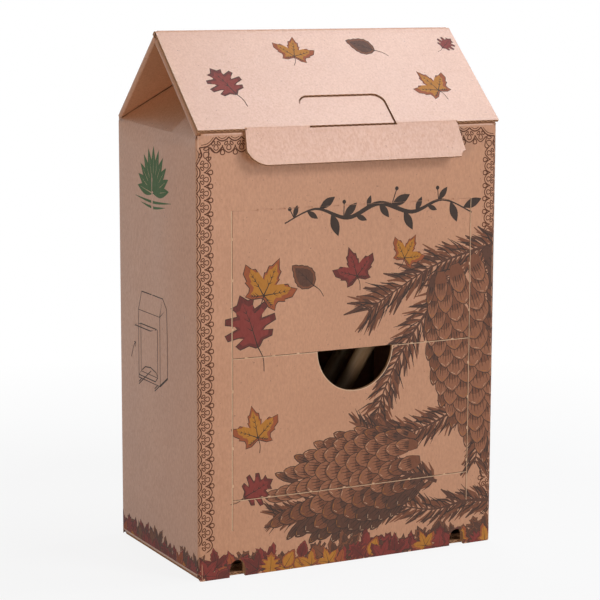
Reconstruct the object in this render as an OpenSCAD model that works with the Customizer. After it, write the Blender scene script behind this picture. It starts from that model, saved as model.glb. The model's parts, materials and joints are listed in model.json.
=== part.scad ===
// Feeding station for hedgehogs: a folded carton with a gable roof that holds its own feed and feet.
// The door is torn open along its cut lines; the dowels then go through the foot holes.
// Origin: middle of the base, on the surface it stands on. The front faces -Y. Millimetres.

/* [Carton] */
// Outside width across the front
box_w = 160; // [150:1:190]
// Outside depth from front to rear
box_d = 94; // [88:1:106]
// Height at which the outer roof planes meet the walls
eave_h = 211.6; // [204:1:236]
// Rise of the roof from the eaves to its sharp ridge line
roof_rise = 42.3; // [38:0.1:54]
// Thickness of the corrugated board
board_t = 1.5; // [1.2:0.1:1.8]
// Inside radius of the upright folds
fold_r = 0.5; // [0.3:0.1:1.0]
// Gap between two layers that lie face to face
layer_gap = 0.05; // [0.03:0.01:0.15]

/* [Door] */
// Width of the door between its side cuts
door_w = 128; // [110:1:134]
// Distance of the door's middle from the middle of the front wall
door_shift = 1.2; // [-3:0.2:3]
// Height of the perforated crease that the upper flap hangs on
door_top = 173; // [160:1:180]
// Height of the tear line between the upper flap and the tear-out panel
door_split = 104.4; // [95:0.2:125]
// Height of the tear line under the tear-out panel
door_foot = 37; // [32:0.5:48]
// Height of the crease that the sill folds on
sill_crease = 22.5; // [19:0.5:26]
// Width of a cut line
kerf = 0.25; // [0.15:0.05:0.5]
// Radius of the half-moon thumb hole
thumb_r = 20.2; // [14:0.2:24]
// Length of one cut of the perforated crease
perf_cut = 3.4; // [2:0.2:4.6]
// Distance from one cut of the crease to the next
perf_pitch = 7; // [6:0.5:10]
// Height of one cut of the crease
perf_h = 0.7; // [0.5:0.1:1.2]

/* [Lid] */
// Distance on the slope by which the lid's crease reaches past the eaves
lid_past = 0.95; // [0.7:0.05:1.4]
// Gap between the lid and the roof panel under it
lid_gap = 0.8; // [0.7:0.1:1.2]
// Width of the pull tab at its crease
tab_w = 113; // [90:1:130]
// Length of the pull tab below its crease
tab_len = 18; // [12:0.1:24]
// Angle by which the tab stands off from the upright
tab_lean = 24; // [21:1:34]
// Radius of the tab's large corner
tab_corner_r = 11; // [4:0.5:12]
// Distance by which the tab's ends flare out below the crease
tab_flare = 1.6; // [0:0.2:3]
// Radius of the nick in the tab's small corner
tab_nick_r = 3; // [1.5:0.1:4]
// Width of the glued seal tongue
tongue_w = 45; // [30:1:60]
// Height of the glued seal tongue, along the slope
tongue_h = 18.2; // [12:0.2:24]
// Radius of the seal tongue's upper corners
tongue_r = 5.5; // [2:0.5:8]
// Cut that runs round the seal tongue
tongue_cut = 0.5; // [0.3:0.1:0.8]

/* [Floor] */
// Length of the side dust flaps
dust_len = 40; // [25:1:60]
// Distance by which a dust flap narrows to each side
dust_taper = 9; // [3:1:14]
// Height of the tuck flap behind the front wall
tuck_h = 19; // [12:0.5:18.9]
// Radius of the tuck flap's upper corners
tuck_r = 9; // [4:0.5:10]
// Width of the glue flap at the rear upright fold
glue_w = 15; // [10:1:20]
// Height by which the ends of the glue flap slant
glue_slant = 6; // [2:1:10]
// Distance of the foot holes from the middle
foot_x = 60.2; // [54:0.2:64]

/* [Contents] */
// Diameter of the dowels
dowel_d = 8; // [6:0.5:9]
// Length of the dowels
dowel_l = 200; // [185:1:205]
// Chamfer at the ends of the dowels
dowel_chamfer = 0.5; // [0.2:0.1:1]
// Distance from the pouch to the feet of the stored dowels
dowel_stand = 6.3; // [1:0.1:20]
// Distance of the front dowel's axis in front of the middle
dowel_front_y = 14.3; // [12:0.1:18]
// Distance of the rear dowel's axis behind the middle
dowel_rear_y = 4; // [1:0.1:10]
// Clearance round a dowel in a foot hole
dowel_fit = 0.1; // [0.05:0.05:0.3]
// Clearance between loose contents and what carries them
rest_gap = 0.3; // [0.2:0.05:0.5]
// Thickness of the filled feed pouch
pouch_t = 33; // [24:1:34]
// Room between the pouch and the boards in front of and behind it
pouch_side = 2.95; // [0.5:0.05:12]
// Height of the feed pouch
pouch_h = 146; // [110:1:160]
// Radius of the pouch's rounded edges
pouch_r = 9; // [5:0.5:12]
// Height of the flat seam at the top of the pouch
seam_h = 12; // [8:1:16]
// Thickness of the flat seam
seam_t = 1.2; // [0.8:0.1:2]

/* [Hidden] */

kraft = "#c39b76";
kraft_light = "#d2ae8c";
kraft_dark = "#a87c5c";
beech = "#dcc096";
pouch_paper = "#b9935f";

half_w = box_w / 2;
half_d = box_d / 2;
in_w = half_w - board_t;
in_d = half_d - board_t;
corner_r = board_t + fold_r;
roof_a = atan(roof_rise / half_d);
ridge_z = eave_h + roof_rise;
far = 400;                     // longer than any side, for the bodies of cuts
hinge_gap = 0.1;               // running gap round a crease that turns
hair = layer_gap / 2;          // step that keeps two surfaces from just touching

// Layers of the roof, as depths below its outer plane
inner_out = board_t + lid_gap;
inner_in = inner_out + board_t;
front_fold_out = inner_in + layer_gap;
front_fold_in = front_fold_out + board_t;
rear_fold_out = board_t + layer_gap;
rear_fold_in = rear_fold_out + board_t;
pair_r = board_t + layer_gap / 2;   // radius of an edge where the board is folded double

// Height of the roof plane at a depth, above a distance from the middle
function roof_z(y, depth) = ridge_z - abs(y) * tan(roof_a) - depth / cos(roof_a);
// Distance down the slope at which a depth lies above a distance from the middle
function slope_at(y, depth) = (abs(y) + depth * sin(roof_a)) / cos(roof_a);

lid_len = slope_at(half_d, 0) + lid_past;   // down the slope from the ridge to the lid's crease

front_bend_z = roof_z(in_d, inner_in);
rear_bend_z = roof_z(in_d, board_t);

// The side gussets: a plane that leans in from the side walls' shoulders to the ridge
shoulder_front = roof_z(in_d, front_fold_in) - layer_gap;
shoulder_rear = roof_z(in_d, rear_fold_in) - layer_gap;
shoulder_z = (shoulder_front + shoulder_rear) / 2;
shoulder_tilt = atan((shoulder_rear - shoulder_front) / (2 * in_d));
gusset_reach = half_d;              // a gusset folds flat when it is as deep as half the box
gusset_top = (roof_z(0, front_fold_in) + roof_z(0, rear_fold_in)) / 2;
gusset_run = gusset_reach - board_t;
gusset_climb = gusset_top - shoulder_z;
gusset_a = atan2(gusset_climb, gusset_run) - asin(board_t / norm([gusset_run, gusset_climb]));

// Loose contents: the pouch stands beside the left wall, the dowels lean from its foot to the right wall
pouch_w = 2 * (in_d - layer_gap - board_t - pouch_side);
dowel_room = 2 * (in_w - rest_gap) - pouch_t - dowel_stand;
dowel_lean = asin(dowel_room / norm([dowel_l, dowel_d])) - atan(dowel_d / dowel_l);

// ---------- helpers ----------

// Extrudes an outline drawn in (y, z) along X
module along_x(x0, x1) {
    translate([x0, 0, 0]) rotate([90, 0, 90]) linear_extrude(x1 - x0) children();
}

// Extrudes an outline drawn in (x, z) along Y
module along_y(y0, y1) {
    translate([0, y1, 0]) rotate([90, 0, 0]) linear_extrude(y1 - y0) children();
}

// Puts children on a roof slope: x across, y down the slope, z out of the outer plane
module on_roof(side) {
    mirror([0, side < 0 ? 1 : 0, 0])
        translate([0, 0, ridge_z]) rotate([-roof_a, 0, 0]) children();
}

// Puts a board's outline, drawn in (x, slope), at a depth below the outer roof plane
module at_depth(depth) {
    translate([0, 0, -depth - board_t]) linear_extrude(board_t) children();
}

// Rectangle with true arcs at its corners, about its own middle
module round_rect(w, d, r) {
    square([w - 2 * r, d], center = true);
    square([w, d - 2 * r], center = true);
    for (sx = [-1, 1], sy = [-1, 1])
        translate([sx * (w / 2 - r), sy * (d / 2 - r)]) circle(r = r, $fn = 48);
}

// The carton's walls in plan
module wall_ring() {
    difference() {
        round_rect(box_w, box_d, corner_r);
        round_rect(box_w - 2 * board_t, box_d - 2 * board_t, fold_r);
    }
}

// Mitred share of the ring that belongs to the front wall
module front_plan() {
    intersection() {
        wall_ring();
        polygon([[-half_w + hair, -half_d - 1], [half_w - hair, -half_d - 1], [half_w - hair, -half_d],
                 [half_w - corner_r - hair, -half_d + corner_r],
                 [-half_w + corner_r + hair, -half_d + corner_r], [-half_w + hair, -half_d]]);
    }
}

// Mitred share of the ring that belongs to the left wall
module left_plan() {
    intersection() {
        wall_ring();
        polygon([[-half_w - 1, -half_d], [-half_w, -half_d], [-half_w + corner_r, -half_d + corner_r],
                 [-half_w + corner_r, half_d - corner_r], [-half_w, half_d], [-half_w - 1, half_d]]);
    }
}

// Rounded outside of a bend: a slice of a disc of one board's thickness, between two directions
module bend(a0, a1) {
    reach = 2 * board_t;
    intersection() {
        circle(r = board_t, $fn = 48);
        polygon([[0, 0], [reach * cos(a0), reach * sin(a0)],
                 [reach * cos((a0 + a1) / 2), reach * sin((a0 + a1) / 2)] * 1.2,
                 [reach * cos(a1), reach * sin(a1)]]);
    }
}

// Arch of a foot hole, drawn in (x, z), open at the foot
module foot_arch() {
    hole_r = dowel_d / 2 + dowel_fit;
    for (sx = [-1, 1]) translate([sx * foot_x, 0]) {
        translate([0, dowel_d / 2]) circle(r = hole_r, $fn = 48);
        translate([-hole_r, -1]) square([2 * hole_r, dowel_d / 2 + 1]);
    }
}

// Cuts of the perforated crease, centred on its line
module perforation() {
    count = floor((door_w - perf_pitch - perf_cut) / perf_pitch);
    span = (count - 1) * perf_pitch;
    for (i = [0 : count - 1])
        translate([door_shift - span / 2 + i * perf_pitch, door_top])
            square([perf_cut, perf_h], center = true);
}

// A piece of the door between two heights, with half a cut line left free all round
module door_piece(z0, z1) {
    translate([door_shift - door_w / 2 + kerf, z0 + kerf / 2])
        square([door_w - 2 * kerf, z1 - z0 - kerf]);
}

// ---------- walls ----------

module front_wall() color(kraft) difference() {
    union() {
        linear_extrude(front_bend_z) front_plan();
        along_x(-half_w + corner_r, half_w - corner_r)
            translate([-in_d, front_bend_z]) bend(90 + roof_a, 180);
    }
    along_y(-half_d - 1, -in_d + 1) {
        translate([door_shift - door_w / 2, sill_crease]) square([door_w, door_top - sill_crease]);
        perforation();
        foot_arch();
    }
}

module rear_wall() color(kraft) difference() {
    union() {
        translate([0, 0, board_t]) linear_extrude(rear_bend_z - board_t) mirror([0, 1]) front_plan();
        along_x(-half_w + corner_r, half_w - corner_r) {
            translate([in_d, rear_bend_z]) bend(0, 90 - roof_a);
            translate([in_d, board_t]) bend(-90, 0);
        }
    }
    along_y(in_d - 1, half_d + 1) foot_arch();
}

// Outline of a side wall in (y, z): its foot bends under, its top slopes with the roof layers
side_foot = 2 * board_t + layer_gap;

module side_wall() color(kraft_dark) {
    difference() {
        translate([0, 0, side_foot]) linear_extrude(shoulder_rear) left_plan();
        tilt_to_shoulder() translate([-far / 2, -far / 2, shoulder_z]) cube(far);
    }
    along_y(-half_d + corner_r, half_d - corner_r)
        translate([-in_w, side_foot]) bend(180, 270);
    tilt_to_shoulder() along_y(-half_d + corner_r, half_d - corner_r)
        translate([-in_w, shoulder_z]) bend(90 + gusset_a, 180);
}

module left_wall() side_wall();

module right_wall() mirror([1, 0, 0]) side_wall();

// Strip of the right wall's sheet, glued inside the rear wall
module glue_flap() color(kraft_light) {
    foot = side_foot + glue_slant;
    top = shoulder_front - glue_slant;
    y0 = in_d - layer_gap - board_t;
    along_y(y0, y0 + board_t)
        polygon([[in_w - fold_r, foot - glue_slant / 2], [in_w - fold_r, top],
                 [in_w - glue_w, top - glue_slant], [in_w - glue_w, foot + glue_slant / 2]]);
}

// ---------- floor ----------

module bottom_panel() color(kraft_light) {
    front_y = -in_d + layer_gap + board_t;
    translate([-in_w + layer_gap, front_y, 0])
        cube([2 * (in_w - layer_gap), in_d - front_y, board_t]);
    difference() {
        along_x(-in_w + layer_gap + board_t, in_w - layer_gap - board_t)
            translate([front_y, board_t]) bend(180, 270);
        along_y(-half_d, front_y) foot_arch();
    }
}

module bottom_tuck_flap() color(kraft_light) {
    flap_w = 2 * (in_w - layer_gap - board_t);
    y0 = -in_d + layer_gap;
    along_y(y0, y0 + board_t) difference() {
        translate([-flap_w / 2, board_t]) square([flap_w, tuck_h - board_t]);
        for (side = [0, 1])
            mirror([side, 0]) translate([flap_w / 2 - tuck_r, tuck_h - tuck_r]) difference() {
                square(far);
                circle(r = tuck_r, $fn = 64);
            }
        foot_arch();
    }
}

module dust_flap() color(kraft) {
    front_y = -in_d + 2 * (layer_gap + board_t);
    rear_y = in_d - layer_gap;
    translate([0, 0, board_t + layer_gap]) linear_extrude(board_t)
        polygon([[-in_w, front_y], [-in_w + dust_len, front_y + dust_taper],
                 [-in_w + dust_len, rear_y - dust_taper], [-in_w, rear_y]]);
}

module left_dust_flap() dust_flap();

module right_dust_flap() mirror([1, 0, 0]) dust_flap();

// ---------- roof ----------

// Cross-section of a roof layer with quarter-round ends, drawn in (x, height above the pair's middle)
module folded_edge_strip() {
    intersection() {
        union() {
            translate([-half_w + pair_r, -pair_r]) square([box_w - 2 * pair_r, 2 * pair_r]);
            for (sx = [-1, 1]) translate([sx * (half_w - pair_r), 0]) circle(r = pair_r, $fn = 48);
        }
        children();
    }
}

// Upper layer of a pair whose edges are folded under, from one place on the slope to another
module upper_layer(depth, s0, s1) {
    translate([0, s1, -depth - pair_r]) rotate([90, 0, 0]) linear_extrude(s1 - s0)
        folded_edge_strip() translate([-half_w, layer_gap / 2]) square([box_w, board_t]);
}

// Small triangle folded under a roof's edge: the lower layer of the pair, cut on its diagonal crease
module fold_triangle(depth, y_low) {
    s_top = slope_at(0, depth + pair_r * 2) + layer_gap;
    s_low = slope_at(y_low, depth + board_t);
    intersection() {
        translate([0, s_low, -depth - pair_r]) rotate([90, 0, 0]) linear_extrude(s_low - s_top)
            folded_edge_strip() translate([-half_w, -pair_r]) square([box_w, board_t]);
        translate([0, 0, -depth - 3 * pair_r]) linear_extrude(4 * pair_r)
            polygon([[-half_w - 1, s_top], [-half_w + gusset_reach, s_top],
                     [-half_w, s_low], [-half_w - 1, s_low]]);
    }
}

module rear_roof() color(kraft_light) {
    on_roof(1) upper_layer(0, board_t * tan(roof_a) / 2, slope_at(in_d, board_t));
    along_x(-half_w + pair_r, half_w - pair_r)
        translate([0, ridge_z - board_t / 2 / cos(roof_a)]) circle(r = board_t / 2 - hair, $fn = 48);
}

module inner_roof() color(kraft_light)
    on_roof(-1) upper_layer(inner_out, slope_at(layer_gap, inner_in), slope_at(in_d, inner_in));

// Tongue torn from the lid, which stays glued to the roof panel
module seal_tongue() color(kraft_light)
    on_roof(-1) at_depth(inner_out - layer_gap - board_t) tongue_outline(0);

module tongue_outline(margin) {
    low = lid_len - tongue_cut;
    top = low - tongue_h;
    w = tongue_w / 2 + margin;
    translate([-w + tongue_r, top - margin]) square([2 * (w - tongue_r), low - top + margin]);
    translate([-w, top - margin + tongue_r]) square([2 * w, low - top + margin - tongue_r]);
    for (sx = [-1, 1])
        translate([sx * (w - tongue_r), top - margin + tongue_r]) circle(r = tongue_r, $fn = 48);
}

// The space below the roof layers and the small triangles
module under_roof() {
    y1 = in_d + corner_r;
    along_x(-far / 2, far / 2)
        polygon([[-y1, 0], [-y1, roof_z(y1, front_fold_in) - layer_gap],
                 ridge_corner(), [y1, roof_z(y1, rear_fold_in) - layer_gap], [y1, 0]]);
}

// Where the undersides of the front and the rear pair cross
function ridge_corner() =
    let (y = (front_fold_in - rear_fold_in) / (2 * sin(roof_a)))
    [y, roof_z(y, rear_fold_in) - layer_gap];

// Follows the slope of the side walls' top edges
module tilt_to_shoulder() {
    translate([0, 0, shoulder_z]) rotate([shoulder_tilt, 0, 0]) translate([0, 0, -shoulder_z]) children();
}

// Leaning triangle between the shoulder and the ridge
module gusset_center() color(kraft_dark) intersection() {
    tilt_to_shoulder() along_y(-half_d + corner_r, half_d - corner_r)
        translate([-in_w, shoulder_z]) rotate(gusset_a) square([box_w, board_t]);
    under_roof();
}

module gusset_front() color(kraft_dark) on_roof(-1) fold_triangle(inner_out, in_d - layer_gap);

module gusset_rear() color(kraft_dark) on_roof(1) fold_triangle(0, in_d - layer_gap);

module left_gusset_center() gusset_center();

module left_gusset_front() gusset_front();

module left_gusset_rear() gusset_rear();

module right_gusset_center() mirror([1, 0, 0]) gusset_center();

module right_gusset_front() mirror([1, 0, 0]) gusset_front();

module right_gusset_rear() mirror([1, 0, 0]) gusset_rear();

// ---------- lid ----------

// The lid hangs on the ridge fold; its turning line is the middle of the board there
lid_top = board_t / 2 * tan(roof_a) + board_t / 2 + hinge_gap;

module lid() color(kraft_light) on_roof(-1) {
    nose = lid_len + board_t / 2;
    at_depth(0) difference() {
        translate([-half_w, lid_top]) square([box_w, nose - lid_top]);
        translate([-tab_w / 2, lid_len]) square([tab_w, nose]);
        tongue_outline(tongue_cut);
        translate([-tongue_w / 2 - tongue_cut, lid_len - tongue_h / 2])
            square([tongue_w + 2 * tongue_cut, nose]);
    }
    for (sx = [-1, 1]) mirror([sx < 0 ? 1 : 0, 0, 0])
        translate([0, lid_len, -board_t / 2]) rotate([0, 90, 0])
            translate([0, 0, tongue_w / 2 + tongue_cut])
                cylinder(d = board_t, h = (tab_w - tongue_w) / 2 - tongue_cut, $fn = 48);
}

// Pull tab, drawn in (x, distance from its crease)
module tab_outline() {
    w = tab_w / 2;
    top = board_t / 2 + hinge_gap;
    difference() {
        polygon([[-w + hinge_gap, top], [w - hinge_gap, top], [w - hinge_gap, board_t],
                 [w + tab_flare, tab_len], [-w - tab_flare, tab_len], [-w + hinge_gap, board_t]]);
        translate([-w - tab_flare, tab_len - tab_corner_r]) difference() {
            translate([-1, 0]) square([tab_corner_r + 1, tab_corner_r + 1]);
            translate([tab_corner_r, 0]) circle(r = tab_corner_r, $fn = 64);
        }
        translate([w + tab_flare, tab_len]) circle(r = tab_nick_r, $fn = 32);
    }
}

module lid_tab() color(kraft_light) on_roof(-1)
    translate([0, lid_len, -board_t / 2]) rotate([-(90 - roof_a - tab_lean), 0, 0])
        translate([0, 0, -board_t / 2]) linear_extrude(board_t) tab_outline();

// ---------- door ----------

module awning_flap() color(kraft) along_y(-half_d, -in_d) difference() {
    door_piece(door_split, door_top);
    perforation();
}

module tear_panel() color(kraft) along_y(-half_d, -in_d) difference() {
    door_piece(door_foot, door_split);
    translate([door_shift, door_split]) circle(r = thumb_r, $fn = 96);
}

module sill_strip() color(kraft) along_y(-half_d, -in_d) door_piece(sill_crease, door_foot);

// ---------- contents ----------

// A stored dowel leans from the floor to the right wall
module stored_dowel(y) color(beech) {
    r = dowel_d / 2;
    top_x = in_w - rest_gap - r * cos(dowel_lean);
    foot_z = board_t + rest_gap + r * sin(dowel_lean);
    translate([top_x - dowel_l * sin(dowel_lean), y, foot_z]) rotate([0, dowel_lean, 0])
        rotate_extrude($fn = 48)
            polygon([[0, 0], [r - dowel_chamfer, 0], [r, dowel_chamfer], [r, dowel_l - dowel_chamfer],
                     [r - dowel_chamfer, dowel_l], [0, dowel_l]]);
}

module front_dowel() stored_dowel(-dowel_front_y);

module rear_dowel() stored_dowel(dowel_rear_y);

// Filled pouch that stands on the left dust flap, drawn in to a flat seam at its top
module feed_pouch() color(pouch_paper)
    translate([-in_w + rest_gap + pouch_t / 2, 0, side_foot + rest_gap]) {
        shoulder = pouch_h * 0.62;
        hull() {
            for (sx = [-1, 1], sy = [-1, 1], z = [pouch_r, shoulder])
                translate([sx * (pouch_t / 2 - pouch_r), sy * (pouch_w / 2 - pouch_r), z])
                    sphere(r = pouch_r, $fn = 16);
            translate([-seam_t / 2, -pouch_w / 2, pouch_h - seam_h]) cube([seam_t, pouch_w, 1]);
        }
        translate([-seam_t / 2, -pouch_w / 2, pouch_h - seam_h]) cube([seam_t, pouch_w, seam_h]);
    }

front_wall();
left_wall();
rear_wall();
right_wall();
glue_flap();
bottom_panel();
bottom_tuck_flap();
left_dust_flap();
right_dust_flap();
rear_roof();
inner_roof();
seal_tongue();
left_gusset_center();
left_gusset_front();
left_gusset_rear();
right_gusset_center();
right_gusset_front();
right_gusset_rear();
lid();
lid_tab();
awning_flap();
tear_panel();
sill_strip();
front_dowel();
rear_dowel();
feed_pouch();
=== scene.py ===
# Hedgehog feeding station: soft folds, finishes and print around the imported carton
import json
import math
import random

import bmesh
import bpy
import numpy
from mathutils import Matrix, Vector
from mathutils.geometry import delaunay_2d_cdt


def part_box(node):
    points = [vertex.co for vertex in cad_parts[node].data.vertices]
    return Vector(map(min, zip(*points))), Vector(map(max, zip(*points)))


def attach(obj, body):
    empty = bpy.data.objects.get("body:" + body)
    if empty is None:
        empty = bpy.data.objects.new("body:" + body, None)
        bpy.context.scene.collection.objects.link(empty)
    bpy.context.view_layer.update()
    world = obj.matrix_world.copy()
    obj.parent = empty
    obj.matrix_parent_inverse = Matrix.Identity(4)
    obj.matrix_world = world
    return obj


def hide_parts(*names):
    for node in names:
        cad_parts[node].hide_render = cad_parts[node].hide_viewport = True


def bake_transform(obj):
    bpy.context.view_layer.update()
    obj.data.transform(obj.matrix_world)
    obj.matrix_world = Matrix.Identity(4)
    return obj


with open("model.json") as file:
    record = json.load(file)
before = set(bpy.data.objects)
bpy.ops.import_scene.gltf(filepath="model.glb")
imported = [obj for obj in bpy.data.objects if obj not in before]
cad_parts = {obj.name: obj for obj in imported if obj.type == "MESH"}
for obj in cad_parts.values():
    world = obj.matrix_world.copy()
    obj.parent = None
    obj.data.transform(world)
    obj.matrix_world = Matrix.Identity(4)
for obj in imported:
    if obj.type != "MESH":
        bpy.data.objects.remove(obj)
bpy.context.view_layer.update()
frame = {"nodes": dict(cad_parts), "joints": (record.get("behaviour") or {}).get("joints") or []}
nodes = frame["nodes"]
joints = {joint["name"]: joint for joint in frame["joints"]}
mm = 0.001  # everything below is worked out in millimetres and scaled at the end
print("frame loaded:", len(nodes), "nodes")


def boxMm(name):
    low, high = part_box(name)
    return low / mm, high / mm


def hingeMm(name):
    return Vector(joints[name]["pos_m"]) / mm


# driving sizes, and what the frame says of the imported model, in millimetres
boardT = 1.5  # E-flute board
cornerR = 2.0  # outside radius of the upright folds
halfW = boxMm("lid")[1].x
halfD = -boxMm("front_wall")[0].y
ridge = hingeMm("lid_hinge")  # lies in the middle of the lid's board, as the crease does
crease = hingeMm("tab_hinge")
slope = math.atan2(ridge.z - crease.z, -crease.y)
ridgeZ = ridge.z + boardT / 2 / math.cos(slope)
lidLength = -(crease.y + boardT / 2 * -math.sin(slope)) / math.cos(slope)
roofOut = Vector((0, -math.sin(slope), math.cos(slope)))
roofDown = Vector((0, -math.cos(slope), -math.sin(slope)))
doorTop = hingeMm("awning_hinge").z
doorFoot = hingeMm("tear_panel_hinge").z
sillZ = hingeMm("sill_hinge").z
doorSplit = (boxMm("awning_flap")[0].z + boxMm("tear_panel")[1].z) / 2
cutGap = 0.25  # width of the die cut beside the door
doorLeft = boxMm("awning_flap")[0].x - cutGap
doorRight = boxMm("awning_flap")[1].x + cutGap
doorMid = (doorLeft + doorRight) / 2
tabLow, tabHigh = boxMm("lid_tab")
eaveZ = ridgeZ - halfD * math.tan(slope)
frontRun = halfW - cornerR  # flat half of the front, then the round fold and the flat side
arc = cornerR * math.pi / 2
sideRun = 2 * (halfD - cornerR)


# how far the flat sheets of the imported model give, as folded board does

softBoard = {
    "frontBow": 1.7,  # the front stands out by this much in its middle
    "rearBow": 1.2,
    "sideBow": 0.9,
    "bowMiddle": 100,  # height of the middle of the bow
    "bowReach": 107,  # and how far it goes up and down from there
    "skin": 3,  # what lies this near to a wall's outer face bends with it
    "sideStop": 5,  # the side walls' bow ends this far under the eaves
    "shoulderBow": 0.9,  # the side walls' upper front is pushed out by the folded gable
    "shoulderMiddle": (-26, 158),  # depth and height of that bulge
    "shoulderReach": (30, 46),
    "gussetRise": 40.6,  # degrees from the level to the leaning gable triangle
    "shoulderR": 24,  # radius of the soft shoulder in the middle of the gable
    "shoulderTilt": 1.95,  # degrees; the shoulder fold climbs to the rear
    "shoulderDrop": 2.65,  # from the side wall's highest point to the fold in the middle of the depth
}
gussetRise = math.radians(softBoard["gussetRise"])
shoulderTilt = math.tan(math.radians(softBoard["shoulderTilt"]))
shoulderTurn = math.pi / 2 - gussetRise
shoulderZ = boxMm("left_wall")[1].z - softBoard["shoulderDrop"]


def hump(t):
    return max(0, 1 - t * t)


def smooth(t):
    t = min(max(t, 0), 1)
    return t * t * (3 - 2 * t)


def soften(p):
    x, y, z = p
    side = -1 if x < 0 else 1
    skin = softBoard["skin"]
    tall = hump((z - softBoard["bowMiddle"]) / softBoard["bowReach"])
    if z < eaveZ - skin and y < skin - halfD and abs(x) < frontRun:
        y -= softBoard["frontBow"] * hump(x / frontRun) * tall
    elif z < eaveZ - skin and y > halfD - skin and abs(x) < frontRun:
        y += softBoard["rearBow"] * hump(x / frontRun) * tall
    elif abs(x) > halfW - skin and z < eaveZ - softBoard["sideStop"]:
        across = hump(y / (halfD - cornerR))
        (middleY, middleZ), (reachY, reachZ) = softBoard["shoulderMiddle"], softBoard["shoulderReach"]
        bulge = hump((y - middleY) / reachY) * hump((z - middleZ) / reachZ)
        x += side * softBoard["sideBow"] * across * tall
        x += side * softBoard["shoulderBow"] * across * bulge
    return Vector((x, y, z))


def softShoulder(p):
    # rolls the sharp fold between a side wall and its gable triangle into a wide curve
    side = -1 if p.x < 0 else 1
    foldZ = shoulderZ + p.y * shoulderTilt
    spare = boardT * math.tan(shoulderTurn / 2)
    kink = Vector((0, foldZ + spare))  # inwards from the wall's outer face, and height
    width = max(0, 1 - (p.y / (halfD - cornerR)) ** 2) ** 0.5
    radius = max(boardT, softBoard["shoulderR"] * width)
    reach = radius * math.tan(shoulderTurn / 2)
    here = Vector((halfW - abs(p.x), p.z))
    off = here - Vector((boardT, foldZ))
    angle = math.atan2(off.y, -off.x)
    if off.y < 0:
        s, depth = here.y - kink.y, here.x
    elif angle < shoulderTurn and off.x < 0.01:
        s, depth = (angle / shoulderTurn * 2 - 1) * spare, boardT - off.length
    else:
        along = Vector((math.cos(gussetRise), math.sin(gussetRise)))
        s, depth = (here - kink).dot(along), -(here - kink).dot(Vector((-along.y, along.x)))
    if abs(s) >= reach or not -0.1 < depth < boardT + 0.1:
        return p
    bend = (s / reach + 1) / 2 * shoulderTurn
    x = radius - (radius - depth) * math.cos(bend)
    z = kink.y - reach + (radius - depth) * math.sin(bend)
    return Vector((side * (halfW - x), p.y, z))


def hexColor(text):
    parts = [int(text[i : i + 2], 16) / 255 for i in (1, 3, 5)]
    return [c / 12.92 if c <= 0.04045 else ((c + 0.055) / 1.055) ** 2.4 for c in parts] + [1]


def addNode(tree, kind, inputs=None, **settings):
    # an input is a fixed value, or the output of another node that is linked to it
    node = tree.nodes.new("ShaderNode" + kind)
    for key, value in settings.items():
        setattr(node, key, value)
    for key, value in (inputs or {}).items():
        if isinstance(value, bpy.types.NodeSocket):
            tree.links.new(value, node.inputs[key])
        else:
            node.inputs[key].default_value = value
    return node


def newMaterial(name):
    material = bpy.data.materials.new(name)
    material.use_nodes = True
    tree = material.node_tree
    tree.nodes.clear()
    place = addNode(tree, "TexCoord").outputs["Object"]
    return material, tree, place


def stain(tree, place, tone, color, pattern, most=1.0):
    # tints a tone in blotches of a real size; gives back the new tone and the noise behind it
    low, high = pattern["shows"]
    spread = addNode(tree, "Mapping", {"Vector": place, "Scale": pattern.get("stretch", (1, 1, 1))})
    noise = addNode(tree, "TexNoise", {"Vector": spread.outputs[0], "Scale": 1 / (pattern["size"] * mm),
                                       "Detail": pattern["detail"], "Roughness": 0.6}).outputs["Fac"]
    share = addNode(tree, "MapRange", {"Value": noise, "From Min": low, "From Max": high,
                                       "To Max": pattern["share"] * most})
    mixed = addNode(tree, "Mix", {0: share.outputs[0], 6: tone, 7: hexColor(color)}, data_type="RGBA")
    return mixed.outputs[2], noise


paper = {  # size: width of a blotch in mm; shows: the part of the noise over which the tint comes in
    # pulp fibres are about 0.03 mm wide, too fine to show, so their flocks are drawn instead
    "fibre": {"size": 0.9, "detail": 4, "shows": (0.34, 0.66), "share": 0.5, "stretch": (1, 1, 0.45)},
    "cloud": {"size": 38, "detail": 2, "shows": (0.35, 0.7), "share": 0.22},  # slow change over a panel
    "speck": {"size": 1.1, "detail": 1, "shows": (0.73, 0.76), "share": 1.0},  # bark in recycled pulp
    "bark": "#5d3a26",
    "grain": 0.35,  # mm, tooth of the uncoated surface, drawn coarser than it is so that it shows
    "tooth": 0.06,  # mm, its height
}


def kraftLiner(name, color, dark, speck=0.55, mottle=1.0, roughness=0.39, shine=0.8):
    # uncoated recycled kraft liner, calendered: warm, mottled by its fibres, with sparse dark specks of
    # bark and a low sheen where light grazes it
    material, tree, place = newMaterial(name)
    tone, fibre = stain(tree, place, hexColor(color), dark, paper["fibre"], mottle)
    tone, _ = stain(tree, place, tone, dark, paper["cloud"], mottle)
    tone, _ = stain(tree, place, tone, paper["bark"], paper["speck"], speck)
    grain = addNode(tree, "TexNoise", {"Vector": place, "Scale": 1 / (paper["grain"] * mm), "Detail": 3,
                                       "Roughness": 0.6})
    bump = addNode(tree, "Bump", {"Height": grain.outputs["Fac"], "Strength": 0.35,
                                  "Distance": paper["tooth"] * mm})
    dull = addNode(tree, "MapRange", {"Value": fibre, "From Min": 0.3, "From Max": 0.7,
                                      "To Min": roughness - 0.05, "To Max": roughness + 0.08})
    shader = addNode(tree, "BsdfPrincipled", {"Base Color": tone, "Normal": bump.outputs[0],
                                              "Roughness": dull.outputs[0], "Specular IOR Level": shine})
    addNode(tree, "OutputMaterial", {"Surface": shader.outputs[0]})
    return material


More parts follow.
